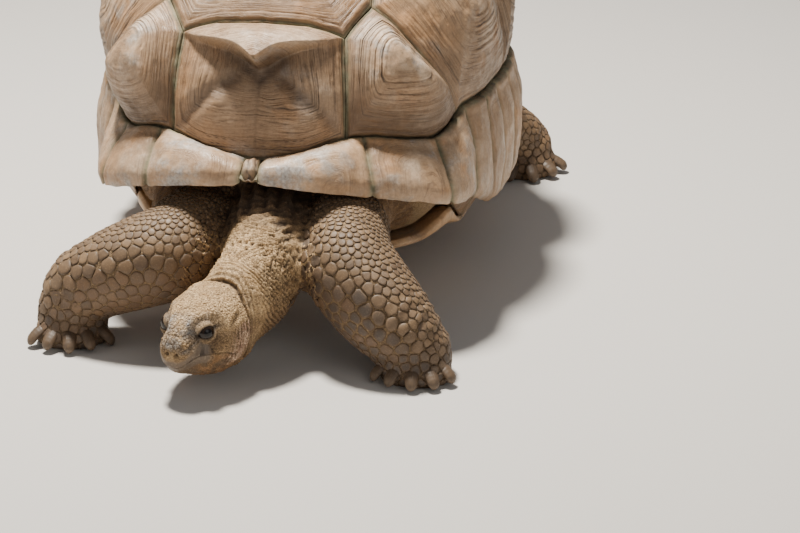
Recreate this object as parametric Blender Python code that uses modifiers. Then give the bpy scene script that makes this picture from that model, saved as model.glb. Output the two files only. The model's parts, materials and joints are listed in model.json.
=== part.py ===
"""An Aldabra giant tortoise, life size, as a still museum model: a crouching
adult on four feet with its neck stretched forward and its head turned a little
to its right. Metres, +Z up, the animal faces -Y, its left side is +X."""
import math

import bmesh
import bpy
import numpy as np
from mathutils import Matrix, Vector

# ---------------------------------------------------------------- sizes
SHELL_AXIS_Y = 0.49      # the dome's upright axis, behind the front edge of the shell
SHELL_TOP_Z = 0.600      # top of the dome above the floor
SEAM_R = 0.80            # disc radius of the seam between costals and marginals
UNDER_R = 1.14           # disc radius where a marginal's underside ends
PLATE = 0.014            # thickness of a vertebral or costal plate
GAP = 0.0004             # each solid keeps this far inside its own seam

# Round the rim, in degrees from the front: seam radius and height, mid strip
# radius and height, edge radius and height, inner end of the underside.
RIM = (
    (0.0, .437, .274, .470, .281, .490, .258, .425, .262),
    (9.0, .436, .284, .468, .284, .489, .250, .424, .258),
    (18.0, .424, .301, .456, .284, .478, .236, .418, .246),
    (34.5, .402, .286, .438, .254, .460, .204, .396, .206),
    (47.0, .356, .304, .378, .246, .380, .170, .336, .146),
    (60.0, .330, .300, .348, .230, .342, .132, .296, .096),
    (76.0, .312, .296, .328, .220, .318, .110, .272, .080),
    (95.0, .312, .292, .328, .218, .318, .110, .272, .080),
    (120.0, .330, .292, .348, .234, .342, .142, .302, .116),
    (145.0, .366, .296, .394, .242, .400, .184, .350, .180),
    (165.0, .404, .298, .442, .246, .458, .188, .402, .200),
    (180.0, .424, .304, .462, .252, .480, .184, .424, .200),
)


def through(xs, ys, x, flat=False):
    """A smooth curve through the points (xs, ys), read at x. ys may hold one column for each x."""
    xs = np.asarray(xs, float)
    ys = np.asarray(ys, float)
    x = np.asarray(x, float)
    if ys.ndim == 1:
        ys = np.repeat(ys[:, None], x.size, axis=1)
    step = np.diff(xs)[:, None]
    slope = np.diff(ys, axis=0) / step
    tangent = np.empty_like(ys)
    tangent[1:-1] = (slope[:-1] * step[1:] + slope[1:] * step[:-1]) / (step[:-1] + step[1:])
    tangent[0] = 0 if flat else slope[0]
    tangent[-1] = 0 if flat else slope[-1]
    flatx = x.reshape(-1)
    k = np.clip(np.searchsorted(xs, flatx, side="right") - 1, 0, len(xs) - 2)
    c = np.arange(flatx.size)
    h = xs[k + 1] - xs[k]
    t = np.clip((flatx - xs[k]) / h, 0, 1)
    p0, p1, m0, m1 = ys[k, c], ys[k + 1, c], tangent[k, c], tangent[k + 1, c]
    out = ((2 * t**3 - 3 * t**2 + 1) * p0 + (t**3 - 2 * t**2 + t) * h * m0
           + (3 * t**2 - 2 * t**3) * p1 + (t**3 - t**2) * h * m1)
    return out.reshape(x.shape)


def rim_sizes(phi):
    """The eight rim sizes at each angle phi, in radians from the front."""
    deg = np.degrees(np.abs((np.asarray(phi, float) + np.pi) % (2 * np.pi) - np.pi))
    table = np.array(RIM)
    return [through(table[:, 0], table[:, k], deg, flat=True) for k in range(1, 9)]


def dome_rz(r, phi):
    rm, zm = rim_sizes(phi)[:2]
    u = np.clip(r / SEAM_R, 0, 1.25) * np.pi / 2
    flat = np.maximum(np.cos(u), 0) ** 0.93 - np.maximum(-np.cos(u), 0)
    return rm * np.sin(u) ** 0.95, zm + (SHELL_TOP_Z - zm) * flat


def strip_rz(r, phi):
    rm, zm, rc, zc, re, ze, ru, zu = rim_sizes(phi)
    dr, dz = re - rc, ze - zc
    n = np.hypot(dr, dz)
    dr, dz = dr / n, dz / n
    knots = (SEAM_R, 0.90, 0.972, 1.0, 1.028, UNDER_R)
    rr = np.array([rm, rc, re - .012 * dr - .007 * dz, re, re - .012 * dr + .008 * dz, ru])
    zz = np.array([zm, zc, ze - .012 * dz + .007 * dr, ze, ze - .012 * dz - .008 * dr, zu])
    return through(knots, rr.reshape(6, -1), r.reshape(-1)).reshape(r.shape), \
        through(knots, zz.reshape(6, -1), r.reshape(-1)).reshape(r.shape)


def ramp(x, low, high):
    t = np.clip((x - low) / (high - low), 0, 1)
    return t * t * (3 - 2 * t)


def settled(p):
    """The front corners of the rim sit a little to the animal's left of its nuchal plate."""
    p = np.array(p, float)
    p[..., 0] += .0185 * ramp(np.abs(p[..., 0]), .12, .24) * ramp(-p[..., 1], -.45, -.15) * ramp(-p[..., 2], -.42, -.28)
    return p


def shell_xyz(r, phi, strip):
    h, z = (strip_rz if strip else dome_rz)(r, phi)
    return settled(np.stack([h * np.sin(phi), SHELL_AXIS_Y - h * np.cos(phi), z], axis=-1))


def disc(points):
    """(r, phi) of points given as disc x and y, front at -y."""
    x, y = points[..., 0], points[..., 1]
    return np.hypot(x, y), np.arctan2(x, -y)


def shell_at(points, strip):
    """Position and outward normal. Dome points are disc x, y; strip points are phi, r."""
    def where(p):
        return shell_xyz(p[..., 1], p[..., 0], True) if strip else shell_xyz(*disc(p), False)
    e = 1e-4
    at = where(points)
    du = where(points + [e, 0]) - where(points - [e, 0])
    dv = where(points + [0, e]) - where(points - [0, e])
    n = np.cross(du, dv) if not strip else np.cross(du, -dv)
    n /= np.maximum(np.linalg.norm(n, axis=-1, keepdims=True), 1e-12)
    return at, n


def arc(deg0, deg1, step):
    """Disc points along the marginal seam."""
    count = max(1, int(round(abs(deg1 - deg0) / step)))
    a = np.radians(np.linspace(deg0, deg1, count + 1))
    return [(SEAM_R * math.sin(v), -SEAM_R * math.cos(v)) for v in a]


# Corners of the plates on the unit disc seen from above, front at -y, for the
# half with x above 0. A pair of numbers in a list is an arc of the seam, in degrees.
V12, V12M, V12S, V2L = (0, -.500), (.096, -.508), (.178, -.536), (.215, -.440)
V23, V23S, V3L = (0, -.160), (.172, -.190), (.250, -.030)
V34, V34S, V4L = (0, .105), (.165, .125), (.215, .262)
V45, V45S = (0, .385), (.135, .400)
A0, A1, A2, A3, A4, A5 = 0.0, 17.5, 44.0, 88.0, 130.0, 162.0
VERTEBRALS = (
    ("vertebral_1", [("arc", A0, A1), V12S, V12M, V12], (0, -.578)),
    ("vertebral_2", [V12, V12M, V12S, V2L, V23S, V23], (0, -.300)),
    ("vertebral_3", [V23, V23S, V3L, V34S, V34], (0, -.020)),
    ("vertebral_4", [V34, V34S, V4L, V45S, V45], (0, .262)),
    ("vertebral_5", [V45, V45S, ("arc", A5, 180.0)], (0, .570)),
)
COSTALS = (
    ("costal_1", [V12S, ("arc", A1, A2), V2L], (.286, -.542)),
    ("costal_2", [V2L, ("arc", A2, A3), V3L, V23S], (.440, -.270)),
    ("costal_3", [V3L, ("arc", A3, A4), V4L, V34S], (.440, .180)),
    ("costal_4", [V4L, ("arc", A4, A5), V45S], (.330, .480)),
)
MARGINAL_ENDS = (1.5, 20.5, 34.5, 48.0, 61.0, 74.5, 88.0, 101.5, 116.0, 131.0, 146.0, 163.0)


def outline(corners, per_edge, arc_step, mirrored=False, doubled=False):
    """Closed loop of disc points through the corners, counter-clockwise seen from above."""
    path = []
    for c in corners:
        path += [("a", p) for p in arc(c[1], c[2], arc_step)] if c[0] == "arc" else [("c", c)]
    if doubled:
        path += [(k, (-x, y)) for k, (x, y) in reversed(path) if abs(x) > 1e-9]
    loop = []
    for (k0, p0), (k1, p1) in zip(path, path[1:] + path[:1]):
        count = 1 if k0 == k1 == "a" else per_edge
        for i in range(count):
            f = i / count
            loop.append((p0[0] + (p1[0] - p0[0]) * f, p0[1] + (p1[1] - p0[1]) * f))
    loop = np.array(loop)
    if mirrored:
        loop = loop * [-1, 1]
    x, y = loop.T
    if (x * np.roll(y, -1) - np.roll(x, -1) * y).sum() < 0:
        loop = loop[::-1]
    return loop


def rounded(loop, centre, width):
    """The loop's offsets from its centre, with the corners rounded over a share of its length."""
    rel = loop - centre
    gap = np.linalg.norm(np.roll(loop, -1, axis=0) - loop, axis=1)
    at = np.concatenate([[0], np.cumsum(gap)[:-1]])
    whole = gap.sum()
    d = np.abs(at[:, None] - at[None])
    d = np.minimum(d, whole - d) / (width * whole)
    w = np.exp(-d * d) * ((gap + np.roll(gap, 1)) / 2)[None]
    return (w @ rel) / w.sum(axis=1, keepdims=True)


def shelf(p):
    """How far a disc point of the first vertebral lies above the edge of its shelf, which dips to a beak."""
    u = np.abs(p[..., 0])
    return p[..., 1] + .556 - .018 * (u / .178) ** 1.3 + .025 * np.exp(-(u / .031) ** 1.5)


def first_relief(p, t):
    """Height of the first vertebral: an overhanging shelf above, a hollow under its beak."""
    u, g = np.abs(p[..., 0]), shelf(p)
    over = ramp(g, -.016, .004)
    high = .033 * np.maximum(1 - t ** 2.4, 0) + .011 * np.exp(-(u / .05) ** 2 - (g / .04) ** 2)
    low = .015 * np.maximum(1 - t * t, 0) * ramp(u, .03, .12) - .016 * np.exp(-(u / .085) ** 2 - ((g + .035) / .060) ** 2) \
        - .007 * np.exp(-(u / .15) ** 2 - ((g + .07) / .11) ** 2)
    return over * high + (1 - over) * low * np.minimum(np.maximum(1 - t, 0) / .08, 1)

# ---------------------------------------------------------------- flesh sizes
# A limb or the neck is a row of balls along a curve: x, y, z, radius.
NECK = ((.018, .128, .188, .058), (.021, .058, .182, .059), (.024, .008, .162, .059),
        (.018, -.030, .138, .057), (.003, -.062, .118, .056), (-.014, -.094, .100, .052))
THROAT = ((.030, .052, .158, .052), (.033, .000, .132, .050), (.024, -.040, .107, .047),
          (-.002, -.080, .084, .042))
ARM_RIGHT = ((-.125, .200, .172, .056), (-.115, .125, .172, .060), (-.095, .055, .156, .070),
             (-.112, .022, .144, .073), (-.166, .010, .124, .070), (-.220, .010, .100, .063),
             (-.257, .012, .077, .057), (-.268, .012, .050, .053))
ARM_LEFT = ((.130, .190, .172, .056), (.132, .115, .174, .060), (.134, .040, .166, .067),
            (.142, .002, .148, .071), (.174, -.024, .114, .071), (.207, -.040, .084, .066),
            (.232, -.048, .062, .058), (.244, -.048, .048, .053))
LEG_RIGHT = ((-.130, .700, .150, .056), (-.188, .740, .128, .058), (-.236, .776, .106, .057),
             (-.270, .800, .084, .054), (-.290, .818, .064, .052), (-.296, .824, .048, .052))
LEG_LEFT = ((.130, .700, .150, .056), (.190, .742, .128, .058), (.240, .778, .106, .057),
            (.276, .804, .082, .054), (.298, .822, .062, .052), (.304, .828, .046, .052))
TAIL = ((.000, .840, .150, .040), (.004, .900, .128, .033), (.012, .936, .098, .023),
        (.024, .950, .074, .016), (.034, .952, .056, .009))

# Feet: centre x, y, radius, height of the block, toes' fan: middle direction in
# degrees from -Y towards +X, spread, number of toes, toe radius, reach.
FEET = {
    "front_right": (-.272, .012, .053, .040, 10.0, 108.0, 5, .0172, .048),
    "front_left": (.250, -.046, .052, .040, 2.0, 108.0, 5, .0172, .046),
    "hind_right": (-.298, .828, .054, .042, -24.0, 96.0, 4, .0180, .047),
    "hind_left": (.308, .832, .054, .042, 36.0, 96.0, 4, .0180, .047),
}
CLAW_LENGTH = .027
CLAW_RADIUS = .0110

# The head's own frame: origin where it joins the neck, s forward, x to its
# left, z up. Each section: s, half width, top, bottom.
HEAD_ORIGIN = (-0.0177, -0.0792, 0.1031)
HEAD_FORWARD = (-0.3801, -0.9223, -0.0698)
HEAD_ROLL = 0.0
HEAD = ((-.012, .0500, .0360, -.0660), (.004, .0540, .0410, -.0735), (.026, .0560, .0440, -.0785),
        (.050, .0560, .0445, -.0785), (.072, .0530, .0425, -.0740), (.090, .0475, .0390, -.0665),
        (.106, .0400, .0320, -.0590), (.119, .0320, .0220, -.0530), (.129, .0248, .0115, -.0480),
        (.1355, .0175, -.0005, -.0420), (.139, .0090, -.0120, -.0345))
EYE = (.0966, .0296, .0081)
EYE_RADIUS = .0135
MOUTH_Z = -.0260


def head_frame():
    """Rows: origin, forward, left, up."""
    f = np.array(HEAD_FORWARD) / np.linalg.norm(HEAD_FORWARD)
    left = np.cross([0, 0, 1], f)
    left /= np.linalg.norm(left)
    up = np.cross(f, left)
    c, s = math.cos(HEAD_ROLL), math.sin(HEAD_ROLL)
    return np.array(HEAD_ORIGIN), f, left * c + up * s, up * c - left * s


def from_head(s, x, z):
    """World points of head points s, x, z."""
    o, f, left, up = head_frame()
    s, x, z = (np.asarray(v, float)[..., None] for v in (s, x, z))
    return o + s * f + x * left + z * up


def smooth_path(rows, count):
    """count points along a smooth curve through the rows, evenly spaced."""
    rows = np.array(rows, float)
    at = np.concatenate([[0], np.cumsum(np.linalg.norm(np.diff(rows[:, :3], axis=0), axis=1))])
    fine = np.linspace(0, at[-1], count)
    return np.stack([through(at, rows[:, k], fine) for k in range(rows.shape[1])], axis=1)


def toe_directions(middle, spread, toes):
    a = np.radians(middle + np.linspace(-spread / 2, spread / 2, toes))
    return [(math.sin(v), -math.cos(v)) for v in a]


def head_sections(count, around, squareness=2.35):
    """Rings round the head from the neck to the snout, blunt in front."""
    table = np.array(HEAD)
    s = np.linspace(0, 1, count)
    s = table[0, 0] + (table[-1, 0] - table[0, 0]) * (1 - (1 - s) ** 1.35)
    w, top, low = (through(table[:, 0], table[:, k], s) for k in (1, 2, 3))
    a = np.linspace(0, 2 * np.pi, around, endpoint=False)
    c, d = np.cos(a), np.sin(a)
    k = 2 / squareness
    ring_x = np.sign(c) * np.abs(c) ** k
    ring_z = np.sign(d) * np.abs(d) ** k
    rings = []
    for i in range(count):
        mid = (top[i] + low[i]) / 2
        half = (top[i] - low[i]) / 2
        narrow = 1 - .10 * np.clip(-d, 0, 1) * (s[i] > .03)
        rings.append(from_head(np.full(around, s[i]), w[i] * ring_x * narrow, mid + half * ring_z))
    return rings


# Plastron, round from the front: edge radius, edge height, radius of the flat
PLASTRON = (
    (0.0, .368, .106, .300), (20.0, .352, .102, .290), (38.0, .332, .106, .262),
    (50.0, None, None, .240), (118.0, None, None, .240), (130.0, .318, .126, .262),
    (145.0, .314, .112, .270), (165.0, .316, .106, .270), (180.0, .285, .106, .240),
)
PLASTRON_Z = .066


def plastron_sizes(phi):
    deg = np.degrees(np.abs((phi + np.pi) % (2 * np.pi) - np.pi))
    ru, zu = rim_sizes(phi)[6:]
    edge_r, edge_z = ru - .0014, zu - .0010
    at = [row[0] for row in PLASTRON]
    own = np.array([0 if row[1] is None else 1 for row in PLASTRON], float)
    share = np.clip(through(at, own, deg, flat=True), 0, 1)
    r_own = through([a for a, row in zip(at, PLASTRON) if row[1]], [row[1] for row in PLASTRON if row[1]], deg, flat=True)
    z_own = through([a for a, row in zip(at, PLASTRON) if row[1]], [row[2] for row in PLASTRON if row[1]], deg, flat=True)
    flat = through(at, [row[3] for row in PLASTRON], deg, flat=True)
    return edge_r * (1 - share) + r_own * share, edge_z * (1 - share) + z_own * share, flat


def round_axis(h, phi, z):
    return settled(np.stack([h * np.sin(phi), SHELL_AXIS_Y - h * np.cos(phi), np.broadcast_to(z, np.shape(phi))], axis=-1))


def plastron_rings(phi):
    rp, zp, rk = plastron_sizes(phi)
    return [round_axis(rk * .45, phi, PLASTRON_Z), round_axis(rk * .85, phi, PLASTRON_Z + .001),
            round_axis(rk + (rp - rk) * .35, phi, PLASTRON_Z + (zp - PLASTRON_Z) * .16),
            round_axis(rp - .002, phi, zp - (zp - PLASTRON_Z) * .30), round_axis(rp, phi, zp - .006), round_axis(rp - .005, phi, zp),
            round_axis(rp - .020, phi, zp - .002), round_axis(rk * .85, phi, PLASTRON_Z + .026), round_axis(rk * .45, phi, PLASTRON_Z + .025)]


def trunk_rings(phi, with_dome):
    """Rings of the body inside the shell, from its top to its underside."""
    rm, zm, _, _, _, _, ru, zu = rim_sizes(phi)
    rp, zp, rk = plastron_sizes(phi)
    rings = []
    if with_dome:
        for r in (.14, .30, .45, .58, .69, .775):
            pts = np.stack([r * np.sin(phi), -r * np.cos(phi)], axis=-1)
            at, n = shell_at(pts, False)
            rings.append(at - n * (PLATE + .016))
    else:
        rings.append(round_axis(rm * .5, phi, zm * 0 + .285))
    wall = np.clip((ru - rp) / .05, 0, 1)
    rings += [round_axis(rm - PLATE - .007, phi, zm - .012),
              round_axis(ru - .007, phi, zu + .004),
              round_axis(ru - .010 - .012 * wall, phi, zu * (1 - .45 * wall) + (zp + .006) * .45 * wall + .002 * (1 - wall)),
              round_axis(rp - .026, phi, zp + .003),
              round_axis(rk * .85, phi, PLASTRON_Z + .0285), round_axis(rk * .45, phi, PLASTRON_Z + .0275)]
    return rings


# ---------------------------------------------------------------- mesh helpers
def clear_scene():
    for obj in list(bpy.data.objects):
        bpy.data.objects.remove(obj, do_unlink=True)


def collection(name):
    made = bpy.data.collections.new(name)
    bpy.context.scene.collection.children.link(made)
    return made


MATERIALS = {}


def material(name, colour, roughness, metallic=0.0):
    mat = bpy.data.materials.new(name)
    mat.use_nodes = True
    shader = mat.node_tree.nodes["Principled BSDF"]
    shader.inputs["Base Color"].default_value = (*colour, 1)
    shader.inputs["Roughness"].default_value = roughness
    shader.inputs["Metallic"].default_value = metallic
    MATERIALS[name] = mat
    return mat


def link(bm, name, where, mat):
    bmesh.ops.recalc_face_normals(bm, faces=bm.faces)
    bmesh.ops.triangulate(bm, faces=bm.faces, quad_method="SHORT_EDGE")
    if bm.calc_volume(signed=True) < 0:
        bmesh.ops.reverse_faces(bm, faces=bm.faces)
    mesh = bpy.data.meshes.new(name)
    bm.to_mesh(mesh)
    bm.free()
    mesh.shade_smooth()
    mesh.set_sharp_from_angle(angle=math.radians(40))
    obj = bpy.data.objects.new(name, mesh)
    obj.data.materials.append(MATERIALS[mat])
    where.objects.link(obj)
    return obj


def loft(rings, first=None, last=None):
    """A closed skin over rings of equal count; first and last are the end points, or None for the ring's middle."""
    bm = bmesh.new()
    rows = [[bm.verts.new(p) for p in ring] for ring in rings]
    for a, b in zip(rows, rows[1:]):
        for i in range(len(a)):
            j = (i + 1) % len(a)
            bm.faces.new((a[i], a[j], b[j], b[i]))
    for row, tip in ((rows[0], first), (rows[-1], last)):
        middle = bm.verts.new(tip if tip is not None else np.mean([v.co for v in row], axis=0))
        for i in range(len(row)):
            j = (i + 1) % len(row)
            bm.faces.new((row[i], middle, row[j]))
    return bm


def evaluated(obj):
    """Bakes an object's modifiers into its own mesh."""
    graph = bpy.context.evaluated_depsgraph_get()
    mesh = bpy.data.meshes.new_from_object(obj.evaluated_get(graph))
    old = obj.data
    obj.modifiers.clear()
    obj.data = mesh
    bpy.data.meshes.remove(old)
    return obj


def balls(bm, rows, count, segments=20):
    for x, y, z, r in smooth_path(rows, count):
        bmesh.ops.create_uvsphere(bm, u_segments=segments, v_segments=segments // 2, radius=r,
                                  matrix=Matrix.Translation((x, y, z)))


def flesh(bm, name, where, mat, voxel, keep, smooth=6):
    """One skin over overlapping forms: remeshed, smoothed and thinned out."""
    obj = link(bm, name, where, mat)
    m = obj.modifiers.new("one_skin", "REMESH")
    m.mode, m.voxel_size = "VOXEL", voxel
    m = obj.modifiers.new("soften", "SMOOTH")
    m.factor, m.iterations = .5, smooth
    m = obj.modifiers.new("thin_out", "DECIMATE")
    m.ratio = keep
    m.use_collapse_triangulate = True
    return evaluated(obj)


def boolean(obj, cutter, operation="DIFFERENCE"):
    m = obj.modifiers.new("cut", "BOOLEAN")
    m.operation, m.object, m.solver = operation, cutter, "EXACT"
    evaluated(obj)


def swollen(obj, by, where):
    """A copy of a solid grown by a small distance, as a cutter."""
    mesh = obj.data.copy()
    bm = bmesh.new()
    bm.from_mesh(mesh)
    bm.normal_update()
    moves = [(v, v.normal * by) for v in bm.verts]
    for v, d in moves:
        v.co += d
    bm.to_mesh(mesh)
    bm.free()
    copy = bpy.data.objects.new("cutter_" + obj.name, mesh)
    copy.matrix_world = obj.matrix_world
    copy.hide_render = True
    copy.display_type = "WIRE"
    where.objects.link(copy)
    return copy


def box(name, low, high, where, matrix=None):
    bm = bmesh.new()
    bmesh.ops.create_cube(bm, size=1)
    low, high = Vector(low), Vector(high)
    bmesh.ops.scale(bm, vec=high - low, verts=bm.verts)
    bmesh.ops.translate(bm, vec=(high + low) / 2, verts=bm.verts)
    if matrix is not None:
        bmesh.ops.transform(bm, matrix=matrix, verts=bm.verts)
    mesh = bpy.data.meshes.new(name)
    bm.to_mesh(mesh)
    bm.free()
    obj = bpy.data.objects.new(name, mesh)
    obj.hide_render = True
    obj.display_type = "WIRE"
    where.objects.link(obj)
    return obj


def largest_body(obj):
    """Keeps only the largest connected piece, as a cut can leave crumbs."""
    bm = bmesh.new()
    bm.from_mesh(obj.data)
    seen, groups = set(), []
    for v in bm.verts:
        if v in seen:
            continue
        stack, group = [v], []
        seen.add(v)
        while stack:
            w = stack.pop()
            group.append(w)
            for e in w.link_edges:
                o = e.other_vert(w)
                if o not in seen:
                    seen.add(o)
                    stack.append(o)
        groups.append(group)
    groups.sort(key=len)
    for group in groups[:-1]:
        bmesh.ops.delete(bm, geom=group, context="VERTS")
    bm.to_mesh(obj.data)
    bm.free()


# ---------------------------------------------------------------- shell
def dome_relief(name, t, p):
    """Height of a plate over the plain dome at gauge t, 0 at its boss and 1 at its seam; p are its disc points."""
    t = t + 0 * p[..., 1]
    seam = -.0025 * np.clip((t - .86) / .14, 0, 1) ** 2
    if name == "vertebral_1":
        return first_relief(p, t) + seam
    high = {"vertebral": .024, "costal_1": .040, "costal_2": .034, "costal_3": .038, "costal_4": .030}
    top = high.get(name[:8], high["vertebral"])
    return top * (1 - t ** 1.9) ** 1.1 + seam


def shell_plate(name, loop, centre, mat, where):
    levels = (.18, .40, .68, .93, 1.0) if name == "vertebral_1" else (.36, .68, .93, 1.0)
    soft = rounded(loop, centre, .05)
    rel = loop - centre
    rows = []
    for t in levels:
        share = t ** 3
        pts = centre + t * (share * rel + (1 - share) * soft)
        at, n = shell_at(pts, False)
        rows.append(at + n * dome_relief(name.replace("_left", "").replace("_right", ""), t, pts)[:, None])
    at, n = shell_at(loop, False)
    inner = at - n * PLATE
    half, nh = shell_at(centre + .5 * rel, False)
    mid, nm = shell_at(np.array([centre]), False)
    for row in (rows[-1], inner):
        d = half - row
        row += d / np.linalg.norm(d, axis=1, keepdims=True) * GAP
    boss = mid[0] + nm[0] * dome_relief(name.replace("_left", "").replace("_right", ""), np.zeros(1), np.array([centre]))[0]
    deep = PLATE + (.0135 if name == "vertebral_1" else 0)
    rings = rows + [inner, half - nh * deep]
    return link(loft(rings, first=boss, last=mid[0] - nm[0] * deep), name, where, mat)


def marginal_run(name, ends, side, mat, where, per_plate=4, flat_ends=True):
    """One run of marginals: a hooked strip with a pillow for each plate, closed inside by a chord."""
    levels = np.array([SEAM_R, .83, .88, .93, .972, 1.0, 1.028, 1.08, UNDER_R])
    degs, humps = [], []
    for a, b in zip(ends, ends[1:]):
        k = np.linspace(0, 1, per_plate + 1)
        k = k if b == ends[-1] else k[:-1]
        degs += list(a + (b - a) * k)
        humps += list(1 - (2 * k - 1) ** 2)
    phi = np.radians(np.array(degs)) * side
    humps = np.array(humps)
    grid = np.stack(np.meshgrid(phi, levels, indexing="ij"), axis=-1)
    at, n = shell_at(grid, True)
    across = np.clip(1 - ((levels - .89) / .10) ** 2, 0, 1)
    lift = .008 * humps[:, None] ** .7 * across[None] - .002 * (1 - humps[:, None]) ** 4 * (levels < 1.05)[None]
    at = at + n * lift[..., None]
    # pull the two ends and the seam inside their own borders
    for row, nxt in ((0, 1), (-1, -2)):
        d = at[nxt] - at[row]
        at[row] += d / np.linalg.norm(d, axis=-1, keepdims=True) * GAP
    d = at[:, 1] - at[:, 0]
    at[:, 0] += d / np.linalg.norm(d, axis=-1, keepdims=True) * GAP * 1.6
    bm = bmesh.new()
    verts = [[bm.verts.new(p) for p in row] for row in at]
    rows = len(levels)
    for i in range(len(verts) - 1):
        for j in range(rows):
            k = (j + 1) % rows
            bm.faces.new((verts[i][j], verts[i][k], verts[i + 1][k], verts[i + 1][j]))
    for row in (verts[0], verts[-1]):
        middle = bm.verts.new(np.mean([v.co for v in row], axis=0))
        for j in range(rows):
            bm.faces.new((row[j], middle, row[(j + 1) % rows]))
    return link(bm, name, where, mat)


# ---------------------------------------------------------------- flesh parts
def trunk_body(where):
    phi = np.linspace(0, 2 * np.pi, 30, endpoint=False)
    return link(loft(trunk_rings(phi, True)), "trunk", where, "skin")


def plastron_body(where):
    phi = np.linspace(0, 2 * np.pi, 30, endpoint=False)
    return link(loft(plastron_rings(phi)), "plastron", where, "horn_light")


def foot_form(bm, key):
    x, y, radius, height, middle, spread, toes, toe_r, reach = FEET[key]
    for z in (0.0, height * .5, height):
        bmesh.ops.create_uvsphere(bm, u_segments=20, v_segments=10, radius=radius * (1.0 if z < height else .98),
                                  matrix=Matrix.Translation((x, y, z)))
    for dx, dy in toe_directions(middle, spread, toes):
        for k in (.55, .8, 1.0):
            bmesh.ops.create_uvsphere(bm, u_segments=14, v_segments=8, radius=toe_r,
                                      matrix=Matrix.Translation((x + dx * reach * k, y + dy * reach * k, toe_r * (.95 + .25 * (1 - k)))))


def claw(name, key, direction, where):
    x, y, radius, height, middle, spread, toes, toe_r, reach = FEET[key]
    dx, dy = direction
    rings = []
    for k in (0.0, .4, .8, 1.0):
        out = reach + .003 + CLAW_LENGTH * k * (1 - .12 * k)
        z = .0235 - .0150 * k ** 1.6
        size = CLAW_RADIUS * (1.0, .98, .86, .46)[(0.0, .4, .8, 1.0).index(k)]
        lean = .5 * k
        a = np.linspace(0, 2 * np.pi, 6, endpoint=False)
        side, rise = size * np.cos(a), size * .72 * np.sin(a)
        rings.append(np.stack([x + dx * (out + rise * lean) - dy * side, y + dy * (out + rise * lean) + dx * side,
                               z + rise], axis=1))
    return link(loft(rings), name, where, "claw")


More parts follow.
